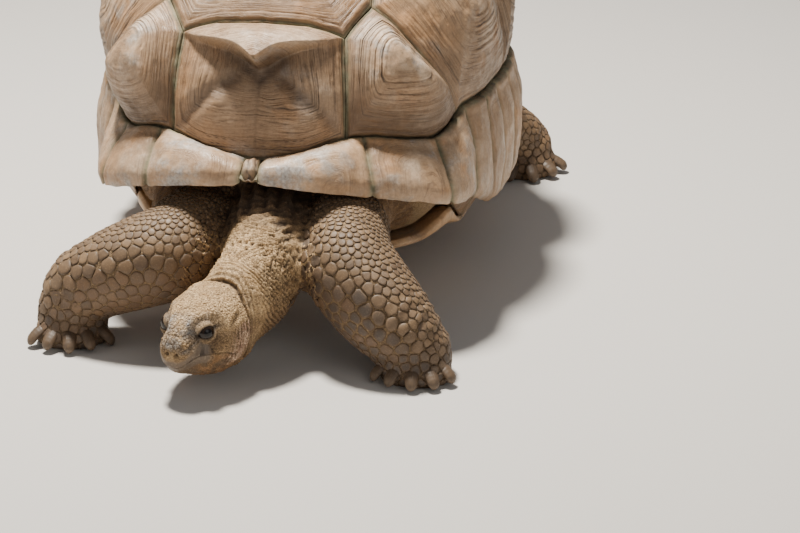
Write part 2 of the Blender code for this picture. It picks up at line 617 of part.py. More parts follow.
def build():
    clear_scene()
    parts = collection("Aldabra_giant_tortoise")
    tools = collection("cutters")
    material("horn", (.225, .140, .080), .55)
    material("horn_light", (.30, .20, .115), .55)
    material("skin", (.165, .115, .070), .80)
    material("scale_skin", (.190, .135, .085), .75)
    material("claw", (.26, .185, .115), .45)
    material("eye", (.010, .007, .005), .12)

    # shell
    for name, corners, centre in VERTEBRALS:
        shell_plate(name, outline(corners, 3, 7.0, doubled=True), np.array(centre, float), "horn", parts)
    for name, corners, centre in COSTALS:
        for side, sign in (("left", 1), ("right", -1)):
            loop = outline(corners, 3, 7.0, mirrored=sign < 0)
            shell_plate(name.replace("_", "_%s_" % side), loop, np.array(centre, float) * [sign, 1], "horn", parts)
    for side, sign in (("left", 1), ("right", -1)):
        for run, first, last in (("front", 0, 3), ("bridge", 3, 7), ("rear", 7, 11)):
            marginal_run("marginals_%s_%s" % (side, run), MARGINAL_ENDS[first:last + 1], sign, "horn", parts, per_plate=3)
    marginal_run("nuchal", (-1.5, 1.5), 1, "horn", parts, per_plate=2)
    marginal_run("supracaudal", (163.0, 197.0), 1, "horn", parts, per_plate=5)

    trunk = trunk_body(parts)
    under = plastron_body(parts)
    trunk_cut = swollen(trunk, .0006, tools)
    under_cut = swollen(under, .0005, tools)
    rim_cut = {o.name: swollen(o, .0005, tools) for o in list(parts.objects) if o.name.startswith("marginals")}

    # head, lower jaw and eyes
    rings = head_sections(10, 18)
    head = link(loft(rings), "head", parts, "skin")
    o, f, left, up = head_frame()
    turn = Matrix([[-left[i], f[i], up[i], o[i]] for i in range(3)] + [[0, 0, 0, 1]])
    jaw = link(loft(rings), "lower_jaw", parts, "skin")
    boolean(jaw, box("cutter_jaw", (-.1, .040, -.1), (.1, .2, MOUTH_Z), tools, turn), "INTERSECT")
    boolean(head, box("cutter_mouth", (-.1, .0394, -.1), (.1, .2, MOUTH_Z + .0006), tools, turn))
    for side, sign in (("left", 1), ("right", -1)):
        at = from_head(EYE[0], sign * EYE[1], EYE[2])
        for where, name, radius in ((tools, "cutter_eye_" + side, EYE_RADIUS + .0004), (parts, "eye_" + side, EYE_RADIUS)):
            bm = bmesh.new()
            bmesh.ops.create_icosphere(bm, subdivisions=2, radius=radius, matrix=Matrix.Translation(at))
            ball = link(bm, name, where, "eye")
            if where is tools:
                ball.hide_render = True
                ball.display_type = "WIRE"
                boolean(head, ball)
    head_cut = swollen(head, .0005, tools)

    # neck
    bm = bmesh.new()
    balls(bm, NECK, 13)
    balls(bm, THROAT, 9)
    neck = flesh(bm, "neck", parts, "skin", .007, .040)
    boolean(neck, trunk_cut)
    boolean(neck, under_cut)
    boolean(neck, head_cut)
    jaw_cut = swollen(jaw, .0005, tools)
    boolean(neck, jaw_cut)
    largest_body(neck)
    neck_cut = swollen(neck, .0006, tools)

    # legs and feet
    for key, rows in (("front_right", ARM_RIGHT), ("front_left", ARM_LEFT), ("hind_right", LEG_RIGHT), ("hind_left", LEG_LEFT)):
        bm = bmesh.new()
        balls(bm, rows, 14)
        foot_form(bm, key)
        leg = flesh(bm, "leg_" + key, parts, "scale_skin", .0075, .040)
        boolean(leg, box("cutter_floor", (-1, -1, -.5), (1, 2, 0), tools))
        foot = leg.copy()
        foot.data = leg.data.copy()
        foot.name = foot.data.name = "foot_" + key
        parts.objects.link(foot)
        boolean(foot, box("cutter_above", (-1, -1, ANKLE_Z - .0003), (1, 2, 1), tools))
        boolean(leg, box("cutter_below", (-1, -1, -.5), (1, 2, ANKLE_Z + .0003), tools))
        boolean(leg, trunk_cut)
        boolean(leg, under_cut)
        if key.startswith("front"):
            boolean(leg, neck_cut)
        side = key.split("_")[1]
        runs = ("front", "bridge") if key.startswith("front") else ("bridge", "rear")
        for run in runs:
            boolean(leg, rim_cut["marginals_%s_%s" % (side, run)])
        largest_body(leg)
        foot_cut = swollen(foot, .0005, tools)
        toes = toe_directions(*FEET[key][4:7])
        for n, direction in enumerate(toes):
            nail = claw("claw_%s_%d" % (key, n + 1), key, direction, parts)
            boolean(nail, foot_cut)
            largest_body(nail)

    # tail
    bm = bmesh.new()
    balls(bm, TAIL, 12, 12)
    tail = flesh(bm, "tail", parts, "skin", .005, .045, 3)
    boolean(tail, trunk_cut)
    boolean(tail, under_cut)
    largest_body(tail)

    # the origin: middle of the bounding box, on the floor
    for obj in parts.objects:
        for v in obj.data.vertices:
            v.co.x -= SHIFT[0]
            v.co.y -= SHIFT[1]
            v.co.z -= SHIFT[2]
    for obj in list(tools.objects):
        bpy.data.objects.remove(obj, do_unlink=True)
    low = np.min([[min(v.co[k] for v in o.data.vertices) for k in range(3)] for o in parts.objects], axis=0)
    high = np.max([[max(v.co[k] for v in o.data.vertices) for k in range(3)] for o in parts.objects], axis=0)
    print("BOX", low, high, [float(v) for v in high - low], "shift by", SHIFT[0] + (low[0] + high[0]) / 2, SHIFT[1] + (low[1] + high[1]) / 2, low[2] + SHIFT[2])
    total = 0
    for o in sorted(parts.objects, key=lambda o: o.name):
        tris = sum(len(p.vertices) - 2 for p in o.data.polygons)
        total += tris
        print("  ", o.name, tris, np.round(np.min([v.co for v in o.data.vertices], axis=0), 3), np.round(np.max([v.co for v in o.data.vertices], axis=0), 3))
    print("TRIANGLES", total, "PARTS", len(parts.objects))


ANKLE_Z = .058
SHIFT = (.00637861, .38211892, .0)

build()
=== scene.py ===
"""The looks of an Aldabra giant tortoise, life size, as a still museum model.
Everything is made here from named sizes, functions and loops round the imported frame."""
import json
import math

import bmesh
import bpy
import numpy as np
from mathutils import Matrix, Vector
from mathutils.bvhtree import BVHTree
from mathutils.kdtree import KDTree

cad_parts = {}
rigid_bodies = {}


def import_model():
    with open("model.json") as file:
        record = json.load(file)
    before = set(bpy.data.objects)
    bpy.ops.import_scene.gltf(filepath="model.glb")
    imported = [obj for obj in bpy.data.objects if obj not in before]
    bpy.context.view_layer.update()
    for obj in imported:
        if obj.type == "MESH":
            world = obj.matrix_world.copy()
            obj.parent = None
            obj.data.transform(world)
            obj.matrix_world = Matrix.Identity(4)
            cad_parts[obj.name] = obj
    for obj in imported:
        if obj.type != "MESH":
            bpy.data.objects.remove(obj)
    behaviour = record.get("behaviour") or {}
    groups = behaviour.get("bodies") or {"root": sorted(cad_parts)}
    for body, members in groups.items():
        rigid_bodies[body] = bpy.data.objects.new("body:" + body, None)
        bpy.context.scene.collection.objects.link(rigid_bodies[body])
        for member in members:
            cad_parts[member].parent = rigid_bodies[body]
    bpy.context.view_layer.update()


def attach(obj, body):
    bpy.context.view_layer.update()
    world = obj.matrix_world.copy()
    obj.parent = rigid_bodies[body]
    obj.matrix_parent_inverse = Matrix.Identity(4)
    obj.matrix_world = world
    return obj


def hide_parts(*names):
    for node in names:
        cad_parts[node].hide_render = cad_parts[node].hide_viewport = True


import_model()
SHIFT = np.array([.00637861, .38211892, .0])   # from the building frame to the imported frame
scene = bpy.context.scene
RNG = np.random.default_rng(7)

# ---------------------------------------------------------------- sizes
SHELL_AXIS_Y = 0.49      # the dome's upright axis, behind the front edge of the shell
SHELL_TOP_Z = 0.600      # top of the dome above the floor
SEAM_R = 0.80            # disc radius of the seam between costals and marginals
UNDER_R = 1.14           # disc radius where a marginal's underside ends
PLATE = 0.014            # thickness of a vertebral or costal plate
GAP = 0.0004             # each solid keeps this far inside its own seam

# Round the rim, in degrees from the front: seam radius and height, mid strip
# radius and height, edge radius and height, inner end of the underside.
RIM = (
    (0.0, .437, .274, .470, .281, .490, .258, .425, .262),
    (9.0, .436, .284, .468, .284, .489, .250, .424, .258),
    (18.0, .424, .301, .456, .284, .478, .236, .418, .246),
    (34.5, .402, .286, .438, .254, .460, .204, .396, .206),
    (47.0, .356, .304, .378, .246, .380, .170, .336, .146),
    (60.0, .330, .300, .348, .230, .342, .132, .296, .096),
    (76.0, .312, .296, .328, .220, .318, .110, .272, .080),
    (95.0, .312, .292, .328, .218, .318, .110, .272, .080),
    (120.0, .330, .292, .348, .234, .342, .142, .302, .116),
    (145.0, .366, .296, .394, .242, .400, .184, .350, .180),
    (165.0, .404, .298, .442, .246, .458, .188, .402, .200),
    (180.0, .424, .304, .462, .252, .480, .184, .424, .200),
)


def through(xs, ys, x, flat=False):
    """A smooth curve through the points (xs, ys), read at x. ys may hold one column for each x."""
    xs = np.asarray(xs, float)
    ys = np.asarray(ys, float)
    x = np.asarray(x, float)
    if ys.ndim == 1:
        ys = np.repeat(ys[:, None], x.size, axis=1)
    step = np.diff(xs)[:, None]
    slope = np.diff(ys, axis=0) / step
    tangent = np.empty_like(ys)
    tangent[1:-1] = (slope[:-1] * step[1:] + slope[1:] * step[:-1]) / (step[:-1] + step[1:])
    tangent[0] = 0 if flat else slope[0]
    tangent[-1] = 0 if flat else slope[-1]
    flatx = x.reshape(-1)
    k = np.clip(np.searchsorted(xs, flatx, side="right") - 1, 0, len(xs) - 2)
    c = np.arange(flatx.size)
    h = xs[k + 1] - xs[k]
    t = np.clip((flatx - xs[k]) / h, 0, 1)
    p0, p1, m0, m1 = ys[k, c], ys[k + 1, c], tangent[k, c], tangent[k + 1, c]
    out = ((2 * t**3 - 3 * t**2 + 1) * p0 + (t**3 - 2 * t**2 + t) * h * m0
           + (3 * t**2 - 2 * t**3) * p1 + (t**3 - t**2) * h * m1)
    return out.reshape(x.shape)


def rim_sizes(phi):
    """The eight rim sizes at each angle phi, in radians from the front."""
    deg = np.degrees(np.abs((np.asarray(phi, float) + np.pi) % (2 * np.pi) - np.pi))
    table = np.array(RIM)
    return [through(table[:, 0], table[:, k], deg, flat=True) for k in range(1, 9)]


def dome_rz(r, phi):
    rm, zm = rim_sizes(phi)[:2]
    u = np.clip(r / SEAM_R, 0, 1.25) * np.pi / 2
    flat = np.maximum(np.cos(u), 0) ** 0.93 - np.maximum(-np.cos(u), 0)
    return rm * np.sin(u) ** 0.95, zm + (SHELL_TOP_Z - zm) * flat


def strip_rz(r, phi):
    rm, zm, rc, zc, re, ze, ru, zu = rim_sizes(phi)
    dr, dz = re - rc, ze - zc
    n = np.hypot(dr, dz)
    dr, dz = dr / n, dz / n
    knots = (SEAM_R, 0.90, 0.972, 1.0, 1.028, UNDER_R)
    rr = np.array([rm, rc, re - .012 * dr - .007 * dz, re, re - .012 * dr + .008 * dz, ru])
    zz = np.array([zm, zc, ze - .012 * dz + .007 * dr, ze, ze - .012 * dz - .008 * dr, zu])
    return through(knots, rr.reshape(6, -1), r.reshape(-1)).reshape(r.shape), \
        through(knots, zz.reshape(6, -1), r.reshape(-1)).reshape(r.shape)


def ramp(x, low, high):
    t = np.clip((x - low) / (high - low), 0, 1)
    return t * t * (3 - 2 * t)


def settled(p):
    """The front corners of the rim sit a little to the animal's left of its nuchal plate."""
    p = np.array(p, float)
    p[..., 0] += .0185 * ramp(np.abs(p[..., 0]), .12, .24) * ramp(-p[..., 1], -.45, -.15) * ramp(-p[..., 2], -.42, -.28)
    return p


def shell_xyz(r, phi, strip):
    h, z = (strip_rz if strip else dome_rz)(r, phi)
    return settled(np.stack([h * np.sin(phi), SHELL_AXIS_Y - h * np.cos(phi), z], axis=-1))


def disc(points):
    """(r, phi) of points given as disc x and y, front at -y."""
    x, y = points[..., 0], points[..., 1]
    return np.hypot(x, y), np.arctan2(x, -y)


def shell_at(points, strip):
    """Position and outward normal. Dome points are disc x, y; strip points are phi, r."""
    def where(p):
        return shell_xyz(p[..., 1], p[..., 0], True) if strip else shell_xyz(*disc(p), False)
    e = 1e-4
    at = where(points)
    du = where(points + [e, 0]) - where(points - [e, 0])
    dv = where(points + [0, e]) - where(points - [0, e])
    n = np.cross(du, dv) if not strip else np.cross(du, -dv)
    n /= np.maximum(np.linalg.norm(n, axis=-1, keepdims=True), 1e-12)
    return at, n


def arc(deg0, deg1, step):
    """Disc points along the marginal seam."""
    count = max(1, int(round(abs(deg1 - deg0) / step)))
    a = np.radians(np.linspace(deg0, deg1, count + 1))
    return [(SEAM_R * math.sin(v), -SEAM_R * math.cos(v)) for v in a]


# Corners of the plates on the unit disc seen from above, front at -y, for the
# half with x above 0. A pair of numbers in a list is an arc of the seam, in degrees.
V12, V12M, V12S, V2L = (0, -.500), (.096, -.508), (.178, -.536), (.215, -.440)
V23, V23S, V3L = (0, -.160), (.172, -.190), (.250, -.030)
V34, V34S, V4L = (0, .105), (.165, .125), (.215, .262)
V45, V45S = (0, .385), (.135, .400)
A0, A1, A2, A3, A4, A5 = 0.0, 17.5, 44.0, 88.0, 130.0, 162.0
VERTEBRALS = (
    ("vertebral_1", [("arc", A0, A1), V12S, V12M, V12], (0, -.578)),
    ("vertebral_2", [V12, V12M, V12S, V2L, V23S, V23], (0, -.300)),
    ("vertebral_3", [V23, V23S, V3L, V34S, V34], (0, -.020)),
    ("vertebral_4", [V34, V34S, V4L, V45S, V45], (0, .262)),
    ("vertebral_5", [V45, V45S, ("arc", A5, 180.0)], (0, .570)),
)
COSTALS = (
    ("costal_1", [V12S, ("arc", A1, A2), V2L], (.286, -.542)),
    ("costal_2", [V2L, ("arc", A2, A3), V3L, V23S], (.440, -.270)),
    ("costal_3", [V3L, ("arc", A3, A4), V4L, V34S], (.440, .180)),
    ("costal_4", [V4L, ("arc", A4, A5), V45S], (.330, .480)),
)
MARGINAL_ENDS = (1.5, 20.5, 34.5, 48.0, 61.0, 74.5, 88.0, 101.5, 116.0, 131.0, 146.0, 163.0)


def outline(corners, per_edge, arc_step, mirrored=False, doubled=False):
    """Closed loop of disc points through the corners, counter-clockwise seen from above."""
    path = []
    for c in corners:
        path += [("a", p) for p in arc(c[1], c[2], arc_step)] if c[0] == "arc" else [("c", c)]
    if doubled:
        path += [(k, (-x, y)) for k, (x, y) in reversed(path) if abs(x) > 1e-9]
    loop = []
    for (k0, p0), (k1, p1) in zip(path, path[1:] + path[:1]):
        count = 1 if k0 == k1 == "a" else per_edge
        for i in range(count):
            f = i / count
            loop.append((p0[0] + (p1[0] - p0[0]) * f, p0[1] + (p1[1] - p0[1]) * f))
    loop = np.array(loop)
    if mirrored:
        loop = loop * [-1, 1]
    x, y = loop.T
    if (x * np.roll(y, -1) - np.roll(x, -1) * y).sum() < 0:
        loop = loop[::-1]
    return loop


def rounded(loop, centre, width):
    """The loop's offsets from its centre, with the corners rounded over a share of its length."""
    rel = loop - centre
    gap = np.linalg.norm(np.roll(loop, -1, axis=0) - loop, axis=1)
    at = np.concatenate([[0], np.cumsum(gap)[:-1]])
    whole = gap.sum()
    d = np.abs(at[:, None] - at[None])
    d = np.minimum(d, whole - d) / (width * whole)
    w = np.exp(-d * d) * ((gap + np.roll(gap, 1)) / 2)[None]
    return (w @ rel) / w.sum(axis=1, keepdims=True)


def shelf(p):
    """How far a disc point of the first vertebral lies above the edge of its shelf, which dips to a beak."""
    u = np.abs(p[..., 0])
    return p[..., 1] + .556 - .018 * (u / .178) ** 1.3 + .025 * np.exp(-(u / .031) ** 1.5)


def first_relief(p, t):
    """Height of the first vertebral: an overhanging shelf above, a hollow under its beak."""
    u, g = np.abs(p[..., 0]), shelf(p)
    over = ramp(g, -.016, .004)
    high = .033 * np.maximum(1 - t ** 2.4, 0) + .011 * np.exp(-(u / .05) ** 2 - (g / .04) ** 2)
    low = .015 * np.maximum(1 - t * t, 0) * ramp(u, .03, .12) - .016 * np.exp(-(u / .085) ** 2 - ((g + .035) / .060) ** 2) \
        - .007 * np.exp(-(u / .15) ** 2 - ((g + .07) / .11) ** 2)
    return over * high + (1 - over) * low * np.minimum(np.maximum(1 - t, 0) / .08, 1)

# ---------------------------------------------------------------- flesh sizes
# A limb or the neck is a row of balls along a curve: x, y, z, radius.
NECK = ((.018, .128, .188, .058), (.021, .058, .182, .059), (.024, .008, .162, .059),
        (.018, -.030, .138, .057), (.003, -.062, .118, .056), (-.014, -.094, .100, .052))
THROAT = ((.030, .052, .158, .052), (.033, .000, .132, .050), (.024, -.040, .107, .047),
          (-.002, -.080, .084, .042))
ARM_RIGHT = ((-.125, .200, .172, .056), (-.115, .125, .172, .060), (-.095, .055, .156, .070),
             (-.112, .022, .144, .073), (-.166, .010, .124, .070), (-.220, .010, .100, .063),
             (-.257, .012, .077, .057), (-.268, .012, .050, .053))
ARM_LEFT = ((.130, .190, .172, .056), (.132, .115, .174, .060), (.134, .040, .166, .067),
            (.142, .002, .148, .071), (.174, -.024, .114, .071), (.207, -.040, .084, .066),
            (.232, -.048, .062, .058), (.244, -.048, .048, .053))
LEG_RIGHT = ((-.130, .700, .150, .056), (-.188, .740, .128, .058), (-.236, .776, .106, .057),
             (-.270, .800, .084, .054), (-.290, .818, .064, .052), (-.296, .824, .048, .052))
LEG_LEFT = ((.130, .700, .150, .056), (.190, .742, .128, .058), (.240, .778, .106, .057),
            (.276, .804, .082, .054), (.298, .822, .062, .052), (.304, .828, .046, .052))
TAIL = ((.000, .840, .150, .040), (.004, .900, .128, .033), (.012, .936, .098, .023),
        (.024, .950, .074, .016), (.034, .952, .056, .009))

# Feet: centre x, y, radius, height of the block, toes' fan: middle direction in
# degrees from -Y towards +X, spread, number of toes, toe radius, reach.
FEET = {
    "front_right": (-.272, .012, .053, .040, 10.0, 108.0, 5, .0172, .048),
    "front_left": (.250, -.046, .052, .040, 2.0, 108.0, 5, .0172, .046),
    "hind_right": (-.298, .828, .054, .042, -24.0, 96.0, 4, .0180, .047),
    "hind_left": (.308, .832, .054, .042, 36.0, 96.0, 4, .0180, .047),
}
CLAW_LENGTH = .027
CLAW_RADIUS = .0110

# The head's own frame: origin where it joins the neck, s forward, x to its
# left, z up. Each section: s, half width, top, bottom.
HEAD_ORIGIN = (-0.0177, -0.0792, 0.1031)
HEAD_FORWARD = (-0.3801, -0.9223, -0.0698)
HEAD_ROLL = 0.0
HEAD = ((-.012, .0500, .0360, -.0660), (.004, .0540, .0410, -.0735), (.026, .0560, .0440, -.0785),
        (.050, .0560, .0445, -.0785), (.072, .0530, .0425, -.0740), (.090, .0475, .0390, -.0665),
        (.106, .0400, .0320, -.0590), (.119, .0320, .0220, -.0530), (.129, .0248, .0115, -.0480),
        (.1355, .0175, -.0005, -.0420), (.139, .0090, -.0120, -.0345))
EYE = (.0966, .0296, .0081)
EYE_RADIUS = .0135
MOUTH_Z = -.0260


def head_frame():
    """Rows: origin, forward, left, up."""
    f = np.array(HEAD_FORWARD) / np.linalg.norm(HEAD_FORWARD)
    left = np.cross([0, 0, 1], f)
    left /= np.linalg.norm(left)
    up = np.cross(f, left)
    c, s = math.cos(HEAD_ROLL), math.sin(HEAD_ROLL)
    return np.array(HEAD_ORIGIN), f, left * c + up * s, up * c - left * s


def from_head(s, x, z):
    """World points of head points s, x, z."""
    o, f, left, up = head_frame()
    s, x, z = (np.asarray(v, float)[..., None] for v in (s, x, z))
    return o + s * f + x * left + z * up


def smooth_path(rows, count):
    """count points along a smooth curve through the rows, evenly spaced."""
    rows = np.array(rows, float)
    at = np.concatenate([[0], np.cumsum(np.linalg.norm(np.diff(rows[:, :3], axis=0), axis=1))])
    fine = np.linspace(0, at[-1], count)
    return np.stack([through(at, rows[:, k], fine) for k in range(rows.shape[1])], axis=1)


def toe_directions(middle, spread, toes):
    a = np.radians(middle + np.linspace(-spread / 2, spread / 2, toes))
    return [(math.sin(v), -math.cos(v)) for v in a]


def head_sections(count, around, squareness=2.35):
    """Rings round the head from the neck to the snout, blunt in front."""
    table = np.array(HEAD)
    s = np.linspace(0, 1, count)
    s = table[0, 0] + (table[-1, 0] - table[0, 0]) * (1 - (1 - s) ** 1.35)
    w, top, low = (through(table[:, 0], table[:, k], s) for k in (1, 2, 3))
    a = np.linspace(0, 2 * np.pi, around, endpoint=False)
    c, d = np.cos(a), np.sin(a)
    k = 2 / squareness
    ring_x = np.sign(c) * np.abs(c) ** k
    ring_z = np.sign(d) * np.abs(d) ** k
    rings = []
    for i in range(count):
        mid = (top[i] + low[i]) / 2
        half = (top[i] - low[i]) / 2
        narrow = 1 - .10 * np.clip(-d, 0, 1) * (s[i] > .03)
        rings.append(from_head(np.full(around, s[i]), w[i] * ring_x * narrow, mid + half * ring_z))
    return rings


# Plastron, round from the front: edge radius, edge height, radius of the flat
PLASTRON = (
    (0.0, .368, .106, .300), (20.0, .352, .102, .290), (38.0, .332, .106, .262),
    (50.0, None, None, .240), (118.0, None, None, .240), (130.0, .318, .126, .262),
    (145.0, .314, .112, .270), (165.0, .316, .106, .270), (180.0, .285, .106, .240),
)
PLASTRON_Z = .066


def plastron_sizes(phi):
    deg = np.degrees(np.abs((phi + np.pi) % (2 * np.pi) - np.pi))
    ru, zu = rim_sizes(phi)[6:]
    edge_r, edge_z = ru - .0014, zu - .0010
    at = [row[0] for row in PLASTRON]
    own = np.array([0 if row[1] is None else 1 for row in PLASTRON], float)
    share = np.clip(through(at, own, deg, flat=True), 0, 1)
    r_own = through([a for a, row in zip(at, PLASTRON) if row[1]], [row[1] for row in PLASTRON if row[1]], deg, flat=True)
    z_own = through([a for a, row in zip(at, PLASTRON) if row[1]], [row[2] for row in PLASTRON if row[1]], deg, flat=True)
    flat = through(at, [row[3] for row in PLASTRON], deg, flat=True)
    return edge_r * (1 - share) + r_own * share, edge_z * (1 - share) + z_own * share, flat


def round_axis(h, phi, z):
    return settled(np.stack([h * np.sin(phi), SHELL_AXIS_Y - h * np.cos(phi), np.broadcast_to(z, np.shape(phi))], axis=-1))


def plastron_rings(phi):
    rp, zp, rk = plastron_sizes(phi)
    return [round_axis(rk * .45, phi, PLASTRON_Z), round_axis(rk * .85, phi, PLASTRON_Z + .001),
            round_axis(rk + (rp - rk) * .35, phi, PLASTRON_Z + (zp - PLASTRON_Z) * .16),
            round_axis(rp - .002, phi, zp - (zp - PLASTRON_Z) * .30), round_axis(rp, phi, zp - .006), round_axis(rp - .005, phi, zp),
            round_axis(rp - .020, phi, zp - .002), round_axis(rk * .85, phi, PLASTRON_Z + .026), round_axis(rk * .45, phi, PLASTRON_Z + .025)]


def trunk_rings(phi, with_dome):
    """Rings of the body inside the shell, from its top to its underside."""
    rm, zm, _, _, _, _, ru, zu = rim_sizes(phi)
    rp, zp, rk = plastron_sizes(phi)
    rings = []
    if with_dome:
        for r in (.14, .30, .45, .58, .69, .775):
            pts = np.stack([r * np.sin(phi), -r * np.cos(phi)], axis=-1)
            at, n = shell_at(pts, False)
            rings.append(at - n * (PLATE + .016))
    else:
        rings.append(round_axis(rm * .5, phi, zm * 0 + .285))
    wall = np.clip((ru - rp) / .05, 0, 1)
    rings += [round_axis(rm - PLATE - .007, phi, zm - .012),
              round_axis(ru - .007, phi, zu + .004),
              round_axis(ru - .010 - .012 * wall, phi, zu * (1 - .45 * wall) + (zp + .006) * .45 * wall + .002 * (1 - wall)),
              round_axis(rp - .026, phi, zp + .003),
              round_axis(rk * .85, phi, PLASTRON_Z + .0285), round_axis(rk * .45, phi, PLASTRON_Z + .0275)]
    return rings


# ---------------------------------------------------------------- camera, floor and light
def add_camera():
    a, e = math.radians(8.6), math.radians(22.0)
    right = Vector((math.cos(a), math.sin(a), 0))
    up = Vector((-math.sin(a) * math.sin(e), math.cos(a) * math.sin(e), math.cos(e)))
    back = Vector((math.sin(a) * math.cos(e), -math.cos(a) * math.cos(e), math.sin(e)))
    at = Vector((.74800101, -3.49380887, 1.57287891)) - Vector([float(v) for v in SHIFT])
    data = bpy.data.cameras.new("camera")
    data.sensor_width, data.lens = 36.0, 2660 / 800 * 36
    data.clip_start, data.clip_end = .1, 60
    cam = bpy.data.objects.new("camera", data)
    cam.matrix_world = Matrix([[right[i], up[i], back[i], at[i]] for i in range(3)] + [[0, 0, 0, 1]])
    scene.collection.objects.link(cam)
    scene.camera = cam


def area_light(name, at, target, size, power, colour):
    data = bpy.data.lights.new(name, "AREA")
    data.shape, data.size, data.energy, data.color = "DISK", size, power, colour
    lamp = bpy.data.objects.new(name, data)
    lamp.location = at
    lamp.rotation_euler = (Vector(target) - Vector(at)).to_track_quat("-Z", "Y").to_euler()
    scene.collection.objects.link(lamp)
    return lamp


def add_studio():
    bm = bmesh.new()
    bmesh.ops.create_grid(bm, x_segments=2, y_segments=2, size=14)
    mesh = bpy.data.meshes.new("floor")
    bm.to_mesh(mesh)
    bm.free()
    floor = bpy.data.objects.new("floor", mesh)
    floor.location = (0, 0, -.0003)
    mat = bpy.data.materials.new("floor")
    mat.use_nodes = True
    shader = mat.node_tree.nodes["Principled BSDF"]
    shader.inputs["Base Color"].default_value = (.54, .52, .49, 1)
    shader.inputs["Roughness"].default_value = .85
    mesh.materials.append(mat)
    scene.collection.objects.link(floor)
    area_light("key", (-.48, .20, 3.15), (0, -.1, .25), .50, 325, (1.0, .945, .86))
    area_light("fill", (1.9, -2.6, 1.9), (0, 0, .25), 2.2, 14, (1.0, .97, .94))
    area_light("side", (-2.8, -1.6, 1.3), (0, 0, .25), 1.8, 10, (1.0, .96, .91))
    world = bpy.data.worlds.new("studio")
    world.use_nodes = True
    background = world.node_tree.nodes["Background"]
    background.inputs["Color"].default_value = (.90, .90, .92, 1)
    background.inputs["Strength"].default_value = .28
    scene.world = world




# ---------------------------------------------------------------- noise
def hashed(ix, iy, iz, seed):
    h = (ix * 374761393 + iy * 668265263 + iz * 1440662683 + seed * 69069) & 0xFFFFFFFF
    h = ((h ^ (h >> 13)) * 1274126177) & 0xFFFFFFFF
    h = ((h ^ (h >> 15)) * 2246822519) & 0xFFFFFFFF
    return (h ^ (h >> 16)) / 4294967296.0


def noise3(p, scale, seed=0):
    """Smooth noise, -1 to 1, with one feature for each length scale."""
    q = np.asarray(p, float) / scale
    i = np.floor(q).astype(np.int64)
    f = q - i
    f = f * f * f * (f * (f * 6 - 15) + 10)
    out = 0
    for a in (0, 1):
        wx = f[..., 0] if a else 1 - f[..., 0]
        for b in (0, 1):
            wy = f[..., 1] if b else 1 - f[..., 1]
            for c in (0, 1):
                wz = f[..., 2] if c else 1 - f[..., 2]
                out = out + wx * wy * wz * hashed(i[..., 0] + a, i[..., 1] + b, i[..., 2] + c, seed)
    return out * 2 - 1


def fbm(p, scale, octaves=3, seed=0, gain=.5):
    out, amp, total = 0, 1.0, 0.0
    for k in range(octaves):
        out = out + amp * noise3(p, scale / 2 ** k, seed + 17 * k)
        total += amp
        amp *= gain
    return out / total


def cells(p, scale, seed=0, jitter=.85):
    """Distance to the border between the two nearest cells (in units of scale), and a random number of the nearest."""
    q = np.asarray(p, float) / scale
    i = np.floor(q).astype(np.int64)
    n = q.shape[0]
    best = np.full(n, 1e9)
    second = np.full(n, 1e9)
    who = np.zeros(n)
    for a in (-1, 0, 1):
        for b in (-1, 0, 1):
            for c in (-1, 0, 1):
                ix, iy, iz = i[:, 0] + a, i[:, 1] + b, i[:, 2] + c
                h = hashed(ix, iy, iz, seed)
                dx = ix + .5 + jitter * (h - .5) - q[:, 0]
                dy = iy + .5 + jitter * (hashed(ix, iy, iz, seed + 1) - .5) - q[:, 1]
                dz = iz + .5 + jitter * (hashed(ix, iy, iz, seed + 2) - .5) - q[:, 2]
                d = dx * dx + dy * dy + dz * dz
                closer = d < best
                second = np.where(closer, best, np.minimum(second, d))
                who = np.where(closer, h, who)
                best = np.where(closer, d, best)
    return np.sqrt(second) - np.sqrt(best), who


def bell(x, width):
    return np.exp(-(x / width) ** 2)



# ---------------------------------------------------------------- mesh tools
def mesh_object(name, points, faces, mat, smooth=True, shift=True):
    """points (N, 3) and faces (M, k) or a list of index lists."""
    mesh = bpy.data.meshes.new(name)
    pts = np.asarray(points, float) - (SHIFT if shift else 0)
    if isinstance(faces, np.ndarray):
        k = faces.shape[1]
        mesh.vertices.add(len(pts))
        mesh.vertices.foreach_set("co", pts.astype(np.float32).ravel())
        mesh.loops.add(faces.size)
        mesh.loops.foreach_set("vertex_index", faces.astype(np.int32).ravel())
        mesh.polygons.add(len(faces))
        mesh.polygons.foreach_set("loop_start", np.arange(0, faces.size, k, dtype=np.int32))
        mesh.polygons.foreach_set("loop_total", np.full(len(faces), k, dtype=np.int32))
        mesh.update(calc_edges=True)
    else:
        mesh.from_pydata([tuple(p) for p in pts], [], faces)
    mesh.validate()
    if smooth:
        mesh.shade_smooth()
    obj = bpy.data.objects.new(name, mesh)
    obj.data.materials.append(mat)
    scene.collection.objects.link(obj)
    return obj


def put_attribute(obj, name, values):
    values = np.asarray(values, np.float32)
    kind = "FLOAT" if values.ndim == 1 else "FLOAT_VECTOR"
    att = obj.data.attributes.new(name, kind, "POINT")
    att.data.foreach_set("value" if kind == "FLOAT" else "vector", values.ravel())


def grid_faces(rows, cols, wrap):
    """Quads of a rows by cols grid of points, wrapped along the columns if wrap."""
    i, j = np.meshgrid(np.arange(rows - 1), np.arange(cols if wrap else cols - 1), indexing="ij")
    k = (j + 1) % cols
    return np.stack([i * cols + j, i * cols + k, (i + 1) * cols + k, (i + 1) * cols + j], axis=-1).reshape(-1, 4)


def coords(obj):
    co = np.empty(len(obj.data.vertices) * 3, np.float32)
    obj.data.vertices.foreach_get("co", co)
    return co.reshape(-1, 3).astype(float)


